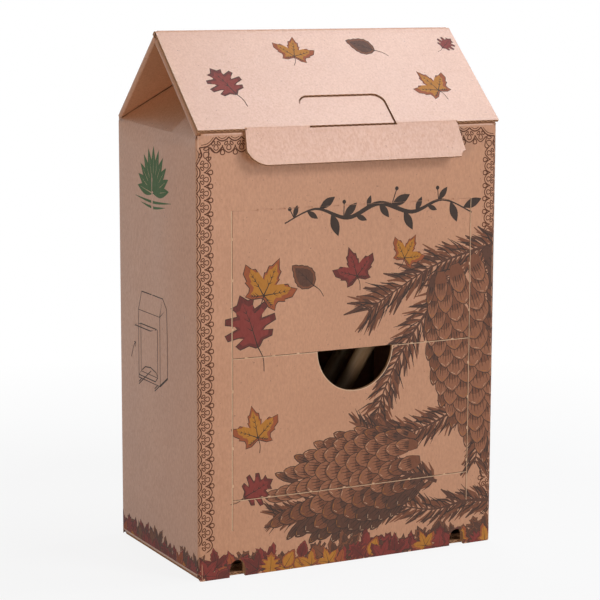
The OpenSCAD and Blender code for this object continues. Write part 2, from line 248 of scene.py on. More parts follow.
def flexoInk(name, color, dark, speck=0.2, mottle=1.0):
    # water-based flexo ink: it sinks into the liner, so it is duller than the bare paper round it
    return kraftLiner(name, color, dark, speck, mottle, roughness=0.62, shine=0.22)


rawEdge = {
    "flute": 3.2,  # mm, pitch of E flute
    "wave": 0.3,  # share of the board's thickness by which the medium swings
    # shares of the board's thickness: from the medium's line, where its paper ends and the painted shade of
    # the hollows begins, and from the middle of the board, where that shade ends and a liner begins
    "medium": (0.14, 0.22),
    "liner": (0.33, 0.39),
    # painted shade: the dark colour drawn in the hollows between the liners and the medium
    "hollowShade": "#6b4326",
    "paper": "#b58862",
    "fuzz": {"size": 0.5, "detail": 3, "shows": (0.4, 0.7), "share": 0.4},  # torn fibres, coarser than real
    "fuzzColor": "#8f6443",
}


def rawBoardEdge(name):
    # die-cut corrugated board: two thin liners, a wavy medium, and the hollows between them drawn in a
    # painted shade; the flutes run upright
    material, tree, place = newMaterial(name)
    depth = addNode(tree, "Attribute", attribute_name="boardDepth").outputs["Fac"]
    x = addNode(tree, "SeparateXYZ", {"Vector": place}).outputs["X"]
    phase = addNode(tree, "Math", {0: x, 1: 2 * math.pi / (rawEdge["flute"] * mm)}, operation="MULTIPLY")
    wave = addNode(tree, "Math", {0: phase.outputs[0]}, operation="SINE")
    line = addNode(tree, "Math", {0: wave.outputs[0], 1: rawEdge["wave"], 2: 0.5}, operation="MULTIPLY_ADD")
    away = addNode(tree, "Math", {0: depth, 1: line.outputs[0]}, operation="SUBTRACT")
    medium = addNode(tree, "Math", {0: away.outputs[0]}, operation="ABSOLUTE")
    fromMiddle = addNode(tree, "Math", {0: depth, 1: 0.5}, operation="SUBTRACT")
    liner = addNode(tree, "Math", {0: fromMiddle.outputs[0]}, operation="ABSOLUTE")
    low, high = rawEdge["medium"]
    onMedium = addNode(tree, "MapRange", {"Value": medium.outputs[0], "From Min": low, "From Max": high,
                                          "To Min": 1, "To Max": 0})
    low, high = rawEdge["liner"]
    onLiner = addNode(tree, "MapRange", {"Value": liner.outputs[0], "From Min": low, "From Max": high})
    paperHere = addNode(tree, "Math", {0: onMedium.outputs[0], 1: onLiner.outputs[0]}, operation="MAXIMUM")
    # painted shade in the hollows, paper colour on the medium and the liners
    tone = addNode(tree, "Mix", {0: paperHere.outputs[0], 6: hexColor(rawEdge["hollowShade"]),
                                 7: hexColor(rawEdge["paper"])}, data_type="RGBA")
    tone, fuzz = stain(tree, place, tone.outputs[2], rawEdge["fuzzColor"], rawEdge["fuzz"])
    bump = addNode(tree, "Bump", {"Height": fuzz, "Strength": 0.6, "Distance": 0.1 * mm})
    shader = addNode(tree, "BsdfPrincipled", {"Base Color": tone, "Normal": bump.outputs[0],
                                              "Roughness": 0.85})
    addNode(tree, "OutputMaterial", {"Surface": shader.outputs[0]})
    return material


beech = {
    "color": "#dcbf9c",
    "bandColor": "#c39d76",
    "poreColor": "#94704d",
    "bands": {"size": 3.2, "detail": 2, "shows": (0.35, 0.65), "share": 1.0, "stretch": (1, 1, 0.05)},
    # beech pores are under 0.1 mm wide, too fine to show, so they are drawn coarser
    "pores": {"size": 0.5, "detail": 2, "shows": (0.62, 0.75), "share": 0.5, "stretch": (1, 1, 0.08)},
}


def beechDowel(name, axis):
    # beech, turned and sanded, left bare: fine straight pores along the dowel and slow bands of tone
    material, tree, place = newMaterial(name)
    turn = Vector((0, 0, 1)).rotation_difference(axis).to_euler()
    along = addNode(tree, "Mapping", {"Vector": place, "Rotation": turn}, vector_type="TEXTURE").outputs[0]
    tone, _ = stain(tree, along, hexColor(beech["color"]), beech["bandColor"], beech["bands"])
    tone, pores = stain(tree, along, tone, beech["poreColor"], beech["pores"])
    bump = addNode(tree, "Bump", {"Height": pores, "Strength": 0.25, "Distance": 0.1 * mm})
    shader = addNode(tree, "BsdfPrincipled", {"Base Color": tone, "Normal": bump.outputs[0],
                                              "Roughness": 0.55})
    addNode(tree, "OutputMaterial", {"Surface": shader.outputs[0]})
    return material


finishes = {
    # the printed side of the board is the paler and smoother one
    "outer": kraftLiner("kraft_liner_outside", "#c08a66", "#9f6b4a"),
    "inner": kraftLiner("kraft_liner_inside", "#ab7d5b", "#8c6042"),
    "raw": rawBoardEdge("raw_board_edge"),
    # unprinted kraft paper, one ply: cleaner pulp, a little duller than the liner
    "pouch": kraftLiner("pouch_kraft_paper", "#b58d66", "#94704c", speck=0.3, roughness=0.5),
}
inks = {  # flexo ink on brown liner: thin and matt, so the pulp's mottling shows through
    "lace": flexoInk("ink_lace_brown", "#5e3826", "#4e2d1f", 0.2, 0.8),
    "line": flexoInk("ink_line_grey", "#40332c", "#342924", 0.1, 0.7),
    "brown": flexoInk("ink_brown", "#7b4f3b", "#66402e", 0.3),
    "tan": flexoInk("ink_light_brown", "#94634a", "#7e523c", 0.3),
    "umber": flexoInk("ink_dark_brown", "#5d4034", "#4b3329", 0.2),
    "ochre": flexoInk("ink_ochre", "#b57a36", "#9f6829", 0.3),
    "russet": flexoInk("ink_russet", "#9b5638", "#86482e", 0.3),
    "rust": flexoInk("ink_rust_red", "#853e38", "#72332d", 0.3),
    "wine": flexoInk("ink_wine_red", "#6b3731", "#5a2e29", 0.2),
    "green": flexoInk("ink_green", "#4b6540", "#3e5535", 0.2),
    # no inks, but laid with them. pale: a light colour of the print, and the painted highlight where light
    # catches the crushed bevel beside a die cut. torn: bare matt fibre where a torn nick has opened the
    # surface
    "pale": flexoInk("pale_ink_and_painted_edge_highlight", "#d9b898", "#c4a080", 0.1),
    "torn": flexoInk("torn_fibre_nick", "#d9b494", "#b78b67", 0.0),
}
inkOrder = list(inks)
print("finishes made")


# directions that the sheets face
front = Vector((0, -1, 0))
left = Vector((-1, 0, 0))
up = Vector((0, 0, 1))
roofBack = Vector((0, math.sin(slope), math.cos(slope)))
tabAngle = math.radians(24)
tabOut = Vector((0, -math.cos(tabAngle), math.sin(tabAngle)))
gussetOut = Vector((-math.sin(gussetRise), 0, math.cos(gussetRise)))

# board pieces are copies of the flat nodes that bend softly and know their cut edges
boards = {  # node: (body, outward side of the sheet, grid step in mm, edges folded over)
    "front_wall": ("carton", front, 7, False),
    "rear_wall": ("carton", -front, 7, False),
    "glue_flap": ("carton", -front, 0, False),
    "bottom_panel": ("carton", -up, 0, False),
    "bottom_tuck_flap": ("carton", front, 0, False),
    "left_dust_flap": ("carton", -up, 0, False),
    "right_dust_flap": ("carton", -up, 0, False),
    "rear_roof": ("carton", roofBack, 0, True),
    "inner_roof": ("carton", roofOut, 0, True),
    "seal_tongue": ("carton", roofOut, 0, False),
    "left_gusset_front": ("carton", -roofOut, 0, True),
    "right_gusset_front": ("carton", -roofOut, 0, True),
    "left_gusset_rear": ("carton", -roofBack, 0, True),
    "right_gusset_rear": ("carton", -roofBack, 0, True),
    "lid": ("lid", roofOut, 0, False),
    "lid_tab": ("pull_tab", tabOut, 0, False),
    "awning_flap": ("awning", front, 7, False),
    "tear_panel": ("tear_panel", front, 7, False),
    "sill_strip": ("sill", front, 7, False),
}


gridOffset = 0.37  # mm, keeps the cuts of the grids off the model's own edges
sameAngle = math.radians(0.5)  # faces that differ by less than this are one flat face


def newObject(name, bm, materials, body, smoothAngle=35):
    mesh = bpy.data.meshes.new(name)
    bm.to_mesh(mesh)
    bm.free()
    for material in materials:
        mesh.materials.append(material)
    mesh.polygons.foreach_set("use_smooth", [True] * len(mesh.polygons))
    mesh.set_sharp_from_angle(angle=math.radians(smoothAngle))
    piece = bpy.data.objects.new(name, mesh)
    bpy.context.scene.collection.objects.link(piece)
    if body:
        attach(piece, body)
    return piece


def cutGrid(bm, low, high, axis, places):
    normal = Vector([1.0 if i == axis else 0.0 for i in range(3)])
    for place in places:
        if low[axis] + 0.3 < place < high[axis] - 0.3:
            everything = bm.verts[:] + bm.edges[:] + bm.faces[:]
            point = normal * place * mm
            bmesh.ops.bisect_plane(bm, geom=everything, plane_co=point, plane_no=normal, dist=1e-7)


def boardPiece(name, body, outward, step, folded):
    low, high = boxMm(name)
    bm = bmesh.new()
    bm.from_mesh(nodes[name].data)
    bmesh.ops.remove_doubles(bm, verts=bm.verts, dist=1e-6)
    bmesh.ops.dissolve_limit(bm, angle_limit=sameAngle, verts=bm.verts, edges=bm.edges)
    top = max(v.co.dot(outward) for v in bm.verts)
    depthLayer = bm.verts.layers.float.new("boardDepth")
    if step:
        for axis in range(3):
            cutGrid(bm, low, high, axis, [i * step + gridOffset for i in range(-40, 60)])
    for v in bm.verts:
        v[depthLayer] = min(max((top - v.co.dot(outward)) / (boardT * mm), 0), 1)
    bm.normal_update()
    for face in bm.faces:  # material 0 is the outer liner, 1 the inner one and 2 the cut edge
        facing = face.normal.dot(outward)
        ridgeEnd = face.calc_center_median().z > (ridgeZ - 4) * mm and abs(face.normal.x) > 0.97
        if abs(facing) < 0.35 and (not folded or ridgeEnd):
            face.material_index = 2
        else:
            face.material_index = 0 if facing > (-0.6 if folded else 0) else 1
    if step:
        for v in bm.verts:
            v.co = soften(v.co / mm) * mm
    piece = newObject("board_" + name, bm, [finishes["outer"], finishes["inner"], finishes["raw"]], body)
    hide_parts(name)


def sidePiece(side):
    # a side wall and its gable triangle are one sheet, so they share one smooth skin over the shoulder
    wall, gusset = side + "_wall", side + "_gusset_center"
    low, high = boxMm(wall)
    bm = bmesh.new()
    for name in (wall, gusset):
        bm.from_mesh(nodes[name].data)
    bmesh.ops.remove_doubles(bm, verts=bm.verts, dist=1e-6)
    outward = left if side == "left" else -left
    foldLean = Vector((-outward.x * math.cos(gussetRise), 0, math.sin(gussetRise)))

    def pastFold(co):  # how far a point lies past the seam between the two nodes
        fold = Vector((outward.x * (halfW - boardT), co.y / mm, shoulderZ + co.y / mm * shoulderTilt))
        return (co / mm - fold).dot(foldLean)

    seams = [face for face in bm.faces if all(abs(pastFold(v.co)) < 0.06 for v in face.verts)]
    bmesh.ops.delete(bm, geom=seams, context="FACES_ONLY")
    bmesh.ops.remove_doubles(bm, verts=bm.verts, dist=0.04 * mm)
    bmesh.ops.dissolve_limit(bm, angle_limit=sameAngle, verts=bm.verts, edges=bm.edges)
    cutGrid(bm, low, high, 1, [i * 5 + gridOffset for i in range(-20, 20)])
    cutGrid(bm, low, high, 2, [i * 7 + gridOffset for i in range(1, 26)])
    cutGrid(bm, low, high, 2, [184 + i * 2 for i in range(22)])  # closer where the shoulder rolls
    bm.normal_update()
    lean = Vector((-outward.x * gussetOut.x, 0, gussetOut.z))
    for face in bm.faces:
        face.material_index = 0 if face.normal.dot(outward) + face.normal.dot(lean) > -1.2 else 1
    for v in bm.verts:
        v.co = softShoulder(soften(v.co / mm)) * mm
    piece = newObject("board_" + side + "_side", bm, [finishes["outer"], finishes["inner"]], "carton")
    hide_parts(wall, gusset)


for name, (body, outward, step, folded) in boards.items():
    boardPiece(name, body, outward, step, folded)
for side in ("left", "right"):
    sidePiece(side)
print("board pieces made:", len(boards) + 2)


# Print is drawn flat, in millimetres, then cut to each sheet and laid on it. On the walls it is drawn on
# the unrolled carton: u runs round the walls from the middle of the front, v is the height. On the lid u is
# x, and v is the distance from the ridge, negative because it runs down.

sheets = {}  # (panel, body): list of flat cells that the print is cut to


def wallPoint(u, v, out):
    side = -1 if u < 0 else 1
    a = abs(u)
    if a <= frontRun:
        p, n = Vector((u, -halfD, v)), Vector((0, -1, 0))
    elif a <= frontRun + arc:
        t = (a - frontRun) / cornerR
        p = Vector((side * (frontRun + cornerR * math.sin(t)), -halfD + cornerR * (1 - math.cos(t)), v))
        n = Vector((side * math.sin(t), -math.cos(t), 0))
    elif a <= frontRun + arc + sideRun:
        p, n = Vector((side * halfW, a - frontRun - arc - halfD + cornerR, v)), Vector((side, 0, 0))
    elif a <= frontRun + 2 * arc + sideRun:
        t = (a - frontRun - arc - sideRun) / cornerR
        p = Vector((side * (frontRun + cornerR * math.cos(t)), halfD - cornerR + cornerR * math.sin(t), v))
        n = Vector((side * math.cos(t), math.sin(t), 0))
    else:
        p, n = Vector((side * (2 * frontRun + 2 * arc + sideRun - a), halfD, v)), Vector((0, 1, 0))
    return softShoulder(soften(p)) + n * out


def lidPoint(u, v, out):
    return Vector((u, 0, ridgeZ)) + roofDown * -v + roofOut * out


panels = {"wall": wallPoint, "lid": lidPoint}


def rectangle(u0, v0, u1, v1):
    return [(u0, v0), (u1, v0), (u1, v1), (u0, v1)]


def gridCells(u0, v0, u1, v1, stepU, stepV):
    columns = max(1, round((u1 - u0) / stepU))
    rows = max(1, round((v1 - v0) / stepV))
    du, dv = (u1 - u0) / columns, (v1 - v0) / rows
    return [rectangle(u0 + i * du, v0 + j * dv, u0 + (i + 1) * du, v0 + (j + 1) * dv)
            for i in range(columns) for j in range(rows)]


def cellsUnder(u0, u1, v0, edge, count, above=False):
    # narrow columns between a level v0 and a curved edge over it, or with above set, under it: the sheet
    # beside a round hole
    width = (u1 - u0) / count
    cells = []
    for i in range(count):
        a, b = u0 + i * width, u0 + (i + 1) * width
        ya, yb = edge(a), edge(b)
        cells.append([(a, ya), (b, yb), (b, v0), (a, v0)] if above else [(a, v0), (b, v0), (b, yb), (a, ya)])
    return cells


thumb = {"r": 20.2, "u": doorMid}
foot = {"u": 60.2, "r": 4.1, "z": 4.0}
sheetSize = {
    "step": 8,  # width and height of a cell
    "narrow": 6,  # width of the cells beside the door and round the foot holes
    "lidStep": 20,
    "cornerStep": (0.8, 12),  # narrow cells follow the round folds
    "top": 208,  # the upper limits stay under the eaves
    "sideTop": 206,
    "cornerFoot": 0.5,
    "sideFoot": 3.2,  # the side walls end above the folded floor
    "rearTop": 25,  # the rear is printed at its foot only
    "strip": 0.6,  # height left over the arched holes
    "gap": 0.13,  # half the width of a tear line
    "underThumb": 2,  # height of the row of narrow columns under the thumb hole
    "lidSide": 0.2,  # margins of the lid's sheet: at its sides, at its top and at its foot
    "lidTop": 3,
    "lidFoot": 1,
}


def circleEdge(mid, level, radius, sign):  # sign: 1 for the upper half of the circle, -1 for the lower
    return lambda u: level + sign * math.sqrt(max(0, radius ** 2 - (u - mid) ** 2))


def footCells(u0, u1, top):
    # the strip at the foot of a wall, with its two arched holes left out
    middles = [m for m in (-foot["u"], foot["u"]) if u0 < m < u1]
    cells, at = [], u0
    for m in middles:
        arch = circleEdge(m, foot["z"], foot["r"], 1)
        cells += gridCells(at, 0, m - foot["r"], top, sheetSize["narrow"], top)
        cells += cellsUnder(m - foot["r"], m + foot["r"], top, arch, 12, True)
        at = m + foot["r"]
    return cells + gridCells(at, 0, u1, top, sheetSize["narrow"], top)


def makeSheets():
    step, narrow, top, gap = (sheetSize[key] for key in ("step", "narrow", "top", "gap"))
    low, split, high = sillZ + 0.1, doorSplit, doorTop
    cut = foot["z"] + foot["r"] + sheetSize["strip"]
    wall = footCells(-frontRun, frontRun, cut)
    wall += gridCells(-frontRun, cut, frontRun, low, step, step)
    wall += gridCells(-frontRun, low, doorLeft, high, narrow, step)
    wall += gridCells(doorRight, low, frontRun, high, narrow, step)
    wall += gridCells(-frontRun, high, frontRun, top, step, step)
    for side in (-1, 1):
        start = frontRun
        for length, v0, v1, steps in ((arc, sheetSize["cornerFoot"], top, sheetSize["cornerStep"]),
                                      (sideRun, sheetSize["sideFoot"], sheetSize["sideTop"], (step, step)),
                                      (arc, sheetSize["cornerFoot"], top, sheetSize["cornerStep"])):
            ends = sorted((side * start, side * (start + length)))
            wall += gridCells(ends[0], v0, ends[1], v1, *steps)
            start += length
    rear = 2 * frontRun + 2 * arc + sideRun
    for middle, ends in ((-rear, (0, frontRun)), (rear, (-frontRun, 0))):
        half = footCells(*ends, cut) + gridCells(ends[0], cut, ends[1], sheetSize["rearTop"], step, step)
        wall += [[(middle + u, v) for u, v in cell] for cell in half]
    sheets["wall", "carton"] = wall
    doorL, doorR = doorLeft + gap * 2, doorRight - gap * 2
    sheets["wall", "awning"] = gridCells(doorL, split + gap, doorR, high - gap, step, step)
    r, mid = thumb["r"], thumb["u"]
    under = split - r - sheetSize["underThumb"]
    panel = gridCells(doorL, doorFoot + gap, mid - r, split - gap, step, step)
    panel += gridCells(mid + r, doorFoot + gap, doorR, split - gap, step, step)
    panel += gridCells(mid - r, doorFoot + gap, mid + r, under, step, step)
    panel += cellsUnder(mid - r, mid + r, under, circleEdge(mid, split, r, -1), 40)
    sheets["wall", "tear_panel"] = panel
    sheets["wall", "sill"] = gridCells(doorL, low, doorR, doorFoot - gap, step, step)
    side, lidStep = halfW - sheetSize["lidSide"], sheetSize["lidStep"]
    lidFoot = sheetSize["lidFoot"] - lidLength
    sheets["lid", "lid"] = gridCells(-side, lidFoot, side, -sheetSize["lidTop"], lidStep, lidStep)


makeSheets()


class Print:
    # collects flat outlines in the order of drawing: a later one covers the earlier ones
    def __init__(self, panel):
        self.panel = panel
        self.shapes = []

    def fill(self, outline, ink):
        self.shapes.append((numpy.array(outline, dtype=float), inkOrder.index(ink)))

    def stroke(self, path, width, ink, closed=False):
        # width is one number, or a function of the share of the path's length
        if closed:
            half = len(path) // 2
            self.stroke(path[: half + 1], width, ink)
            self.stroke(path[half:] + path[:1], width, ink)
            return
        steps = len(path) - 1
        leftRim, rightRim = [], []
        for i, (u, v) in enumerate(path):
            before, after = path[max(i - 1, 0)], path[min(i + 1, steps)]
            du, dv = after[0] - before[0], after[1] - before[1]
            length = math.hypot(du, dv) or 1
            half = (width(i / steps) if callable(width) else width) / 2
            nu, nv = -dv / length * half, du / length * half
            leftRim.append((u + nu, v + nv))
            rightRim.append((u - nu, v - nv))
        self.fill(leftRim + rightRim[::-1], ink)


def windings(loop, spots):
    # how often a closed outline runs round each spot
    a, b = loop, numpy.roll(loop, -1, axis=0)
    u, v = spots[:, :1], spots[:, 1:]
    side = (b[:, 0] - a[:, 0]) * (v - a[:, 1]) - (u - a[:, 0]) * (b[:, 1] - a[:, 1])
    upward = (a[:, 1] <= v) & (b[:, 1] > v) & (side > 0)
    downward = (a[:, 1] > v) & (b[:, 1] <= v) & (side < 0)
    return upward.sum(axis=1) - downward.sum(axis=1)


def inkCell(cell, shapes):
    # cuts one cell of the sheet along the outlines over it, and gives each part the ink drawn last
    cell = numpy.array(cell)
    corner = cell.min(axis=0)
    low, high = cell.min(axis=0) - 0.01, cell.max(axis=0) + 0.01
    ends = [cell - corner]
    for loop, ink in shapes:
        a, b = loop, numpy.roll(loop, -1, axis=0)
        near = (numpy.maximum(a, b) > low).all(axis=1) & (numpy.minimum(a, b) < high).all(axis=1)
        ends.append(numpy.stack([a[near], b[near]], axis=1).reshape(-1, 2) - corner)
    points = numpy.concatenate(ends)
    edges = [(i, i + 1) for i in range(len(cell), len(points), 2)]
    rim = [list(range(len(cell)))]
    spots, _, parts, _, _, _ = delaunay_2d_cdt([Vector(p) for p in points], edges, rim, 1, 1e-5)
    places = numpy.array([tuple(p) for p in spots]) + corner
    middles = places[numpy.array([tuple(part) for part in parts])].mean(axis=1)
    inkOf = numpy.full(len(parts), -1)
    free = windings(cell, middles) != 0
    for loop, ink in reversed(shapes):
        bare = numpy.flatnonzero(free)
        hit = bare[windings(loop, middles[bare]) != 0]
        inkOf[hit] = ink
        free[hit] = False
    return places, [(part, int(ink)) for part, ink in zip(parts, inkOf) if ink >= 0]


flatAngle = 0.02  # radians
printLift = 0.03  # mm, height of the ink above the board


def layPrint(name, drawing):
    # every ink lies flat on the sheet, so no ink stands on another
    place = panels[drawing.panel]
    lows = numpy.array([loop.min(axis=0) for loop, ink in drawing.shapes])
    highs = numpy.array([loop.max(axis=0) for loop, ink in drawing.shapes])
    for (panel, body), cells in sheets.items():
        if panel != drawing.panel:
            continue
        bm = bmesh.new()
        for cell in cells:
            low, high = numpy.min(cell, axis=0), numpy.max(cell, axis=0)
            over = numpy.flatnonzero((lows < high).all(axis=1) & (highs > low).all(axis=1))
            if not len(over):
                continue
            places, parts = inkCell(cell, [drawing.shapes[i] for i in over])
            made = {}
            for part, ink in parts:
                for i in part:
                    if i not in made:
                        made[i] = bm.verts.new((*places[i], 0))
                bm.faces.new([made[i] for i in part]).material_index = ink
        bm.normal_update()
        bmesh.ops.dissolve_limit(bm, angle_limit=flatAngle, use_dissolve_boundaries=False, verts=bm.verts,
                                 edges=bm.edges, delimit={"MATERIAL"})
        for v in bm.verts:
            v.co = place(v.co.x, v.co.y, printLift) * mm
        bmesh.ops.remove_doubles(bm, verts=bm.verts, dist=0.002 * mm)
        if bm.faces:
            piece = newObject(name + "_" + body, bm, [inks[ink] for ink in inkOrder], body)
            print(name, "laid on", body, len(piece.data.polygons), "faces")
        else:
            bm.free()


def polar(u, v, radius, angle):
    return u + radius * math.cos(angle), v + radius * math.sin(angle)


def placed(points, u, v, turn=0.0, size=1.0):
    c, s = math.cos(turn) * size, math.sin(turn) * size
    return [(u + a * c - b * s, v + a * s + b * c) for a, b in points]


def curve(points, per=6, closed=False):
    # smooth line through a few points
    count = len(points)
    result = []
    for i in range(count if closed else count - 1):
        near = (i - 1, i, i + 1, i + 2)
        p = [points[j % count] if closed else points[min(max(j, 0), count - 1)] for j in near]
        for k in range(per):
            t = k / per
            result.append(tuple(0.5 * (2 * b + (c - a) * t + (2 * a - 5 * b + 4 * c - d) * t * t
                                       + (3 * b - a - 3 * c + d) * t ** 3) for a, b, c, d in zip(*p)))
    return result if closed else result + [points[-1]]


def tapered(width, tip=0.15):
    return lambda t: width * max(tip, 1 - t)


def spindle(width, tip=0.2):
    return lambda t: width * max(tip, math.sin(math.pi * min(max(t, 0), 1)))


lace = {
    "period": 6.34,
    "edge": 80.2,  # distance of its outer cusps from the middle of the front
    "top": 207.0,
    "cornerCusp": (78.7, 202.5),
    "firstSide": 194.4,  # height of the first cusp below the corner
    "firstTop": 70.5,
    "foot": 12,
    "thin": 0.36,
    "line": 0.52,
    "fat": 0.62,
    "scallop": 1.75,  # height of the outer scallop, from its cusps inwards
    "innerArc": (0.17, -0.25, 0.9),  # start as a share of the period, foot and rise of the thin inner arc
    "wave": (4.2, 2.85),  # foot and rise of the wavy line
    "drop": (5.35, 6.95, 1.05),  # tip, middle and half width of the drop under the wave
    "petals": [  # (along, inwards) of the middle and the tip, and half width
        ((0, 4.75), (0, 3.1), 1.1),
        ((1.55, 3.0), (0.55, 1.8), 0.62),
        ((-1.55, 3.0), (-0.55, 1.8), 0.62),
    ],
}


def teardrop(tip, middle, half, turn, count=14):
    # loop with its point at the tip; turn is the direction from the tip to the round end
    length = math.dist(tip, middle) + half
    cu, cv = tip[0] + math.cos(turn) * length / 2, tip[1] + math.sin(turn) * length / 2
    loop = [(-length / 2 * math.cos(t), 1.3 * half * math.sin(t) * abs(math.sin(t / 2)))
            for t in (2 * math.pi * i / count for i in range(count))]
    return placed(loop, cu, cv, turn)


def laceUnit(draw, put):
    # put maps (along, inward) to the print; the cusp of the scallop is at along = 0
    period = lace["period"]
    steps = [i / 8 for i in range(9)]
    draw.stroke([put(period * t, lace["scallop"] * math.sin(math.pi * t) ** 0.8) for t in steps],
                lace["fat"], "lace")
    first, low, rise = lace["innerArc"]
    inner = [(period * (first + (1 - 2 * first) * t), low + rise * math.sin(math.pi * t)) for t in steps]
    draw.stroke([put(*p) for p in inner], lace["thin"], "lace")
    low, rise = lace["wave"]
    draw.stroke([put(period * (t - 0.5), low + rise * abs(math.sin(math.pi * t)) ** 0.7) for t in steps],
                lace["line"], "lace")
    draw.stroke([put(period / 2, 3.6), put(period / 2, 4.3)], lace["fat"], "lace")
    fan(draw, put)
    tip, middle, half = lace["drop"]
    drop = teardrop((period / 2, tip), (period / 2, middle), half, math.pi / 2)
    draw.stroke([put(*p) for p in drop], lace["line"], "lace", closed=True)


def fan(draw, put):
    for middle, tip, half in lace["petals"]:
        turn = math.atan2(middle[1] - tip[1], middle[0] - tip[0])
        loop = teardrop(tip, middle, half, turn, 12)
        draw.stroke([put(*p) for p in loop], lace["line"] * 0.9, "lace", closed=True)


def drawLace(draw):
    period, edge = lace["period"], lace["edge"]
    sideCount = int((lace["firstSide"] - lace["foot"]) / period)
    topCount = round(2 * lace["firstTop"] / period)
    topPeriod = 2 * lace["firstTop"] / topCount
    for side in (-1, 1):
        for i in range(1, sideCount + 1):
            cusp = lace["firstSide"] - i * period
            laceUnit(draw, lambda a, b: (side * (edge - b), cusp + a))
        corner(draw, side)
    for i in range(topCount):
        start = -lace["firstTop"] + i * topPeriod
        laceUnit(draw, lambda a, b: (start + a * topPeriod / period, lace["top"] - b))
    fan(draw, lambda a, b: (lace["firstTop"] + a, lace["top"] - b))


def corner(draw, side):
    edge, (cu, cv) = lace["edge"], lace["cornerCusp"]
    upper, lower = (side * lace["firstTop"], lace["top"]), (side * edge, lace["firstSide"])
    cusp = (side * cu, cv)
    for end, inward in ((upper, (side * -0.5, -1.4)), (lower, (side * -1.6, 0.5))):
        middle = ((cusp[0] + end[0]) / 2 + inward[0], (cusp[1] + end[1]) / 2 + inward[1])
        path = curve([cusp, middle, end], 6)
        draw.stroke(path, lace["fat"], "lace")
        out = [(u - inward[0] * 0.75, v - inward[1] * 0.75) for u, v in path[2:-2]]
        draw.stroke(out, lace["thin"], "lace")
    turn = math.radians(-135 if side > 0 else -45)
    forward = (math.cos(turn), math.sin(turn))
    across = (-forward[1], forward[0])
    wide = 1.5  # the corner's fan is spread by this much

    def put(a, b):
        return tuple(cusp[k] + forward[k] * b + across[k] * a * wide for k in (0, 1))

    fan(draw, put)
    fan(draw, lambda a, b: (side * (edge - b), lace["firstSide"] + a))
    wave = [(side * (edge - 4.2), lace["firstSide"] - lace["period"] / 2),
            (side * (edge - 7.05), lace["firstSide"]),
            (side * (edge - 4.6), lace["firstSide"] + 3.2),
            put(0.6, 7.2), put(-0.6, 7.2),
            (side * (lace["firstTop"] + 3.2), lace["top"] - 4.6),
            (side * lace["firstTop"], lace["top"] - 7.05),
            (side * (lace["firstTop"] - lace["period"] / 2), lace["top"] - 4.2)]
    draw.stroke(curve(wave, 5), lace["line"], "lace")


def mirrored(half):
    return half + [(-u, v) for u, v in half[::-1] if abs(u) > 0.001]


def mapleLeaf():  # (degrees, reach) of the points of its right half
    lobes = [(-62, 0.1), (-40, 0.34), (-26, 0.52), (-12, 0.43), (3, 0.45), (9, 0.64), (14, 0.62), (20, 0.82),
             (33, 0.97), (39, 0.76), (46, 0.74), (52, 0.56), (62, 0.42), (67, 0.6), (72, 0.6), (76, 0.78),
             (82, 0.8), (90, 1.05)]
    return mirrored([polar(0, 0, reach, math.radians(angle)) for angle, reach in lobes])


def oakLeaf():
    return mirrored([(0.04, 0.0), (0.16, 0.1), (0.36, 0.1), (0.42, 0.2), (0.22, 0.27), (0.3, 0.33),
                     (0.54, 0.36), (0.56, 0.48), (0.28, 0.5), (0.3, 0.58), (0.48, 0.68), (0.44, 0.78),
                     (0.2, 0.73), (0.18, 0.82), (0.26, 0.94), (0.12, 0.94), (0, 1.1)])


def birchLeaf():
    outline = []
    for side in (1, -1):
        half = [(side * (0.34 * math.sin(math.pi * t ** 0.75) + (0.03 if i % 2 else 0)), t)
                for i, t in enumerate(j / 12 for j in range(13))]
        outline += half if side > 0 else half[-2:0:-1]
    return outline


leafShapes = {  # outline, and the veins as (degrees, length)
    "maple": (mapleLeaf(), [(90, 0.9), (33, 0.8), (147, 0.8), (-24, 0.42), (204, 0.42)]),
    "oak": (oakLeaf(), [(90, 1.0)]),
    "birch": (birchLeaf(), [(90, 0.95)]),
}
leafMargin = {  # ink of the leaf: ink of its rim
    "ochre": "russet", "rust": "wine", "umber": "brown", "russet": "rust", "wine": "rust", "brown": "umber",
}


def inset(outline, amount):
    # draws an anticlockwise outline in by an amount, without passing the middle of its lobes
    result = []
    count = len(outline)
    for i, (u, v) in enumerate(outline):
        (a, b), (c, d) = outline[i - 1], outline[(i + 1) % count]
        du, dv = c - a, d - b
        length = math.hypot(du, dv) or 1
        result.append((u - dv / length * amount, v + du / length * amount))
    return result


def drawLeaf(draw, kind, u, v, size, turn, ink, line="line", stem=0.5, fine=True):
    # a dark outline, a rim, a heart in the leaf's own ink, veins, side veins where fine, and a stem
    outline, veins = leafShapes[kind]
    weight = min(max(size * 0.024, 0.22), 0.42)  # mm, width of its finest lines
    shape = placed(outline, u, v, turn, size)
    draw.fill(inset(shape, -weight * 0.6), line)
    draw.fill(inset(shape, weight * 0.4), leafMargin[ink])
    heart = [(a * 0.78, 0.07 + b * 0.8) for a, b in outline]
    draw.fill(placed(heart, u, v, turn, size), ink)
    for degrees, length in veins:
        tip = polar(0, 0, length, math.radians(degrees))
        draw.stroke(placed([(0, 0), (tip[0] * 0.5 + 0.02, tip[1] * 0.5), tip], u, v, turn, size),
                    tapered(weight * 1.4), line)
        for k in (0.35, 0.55, 0.72) if fine else ():
            for side in (-1, 1):
                start = polar(0, 0, length * k, math.radians(degrees))
                end = polar(*start, 0.17 * (1.2 - k), math.radians(degrees + side * 38))
                draw.stroke(placed([start, end], u, v, turn, size), tapered(weight), line)
    if stem:
        draw.stroke(placed(curve([(0, 0.02), (0.03, -stem / 2), (-0.04, -stem)], 4), u, v, turn, size),
                    tapered(weight * 1.6, 0.6), line)


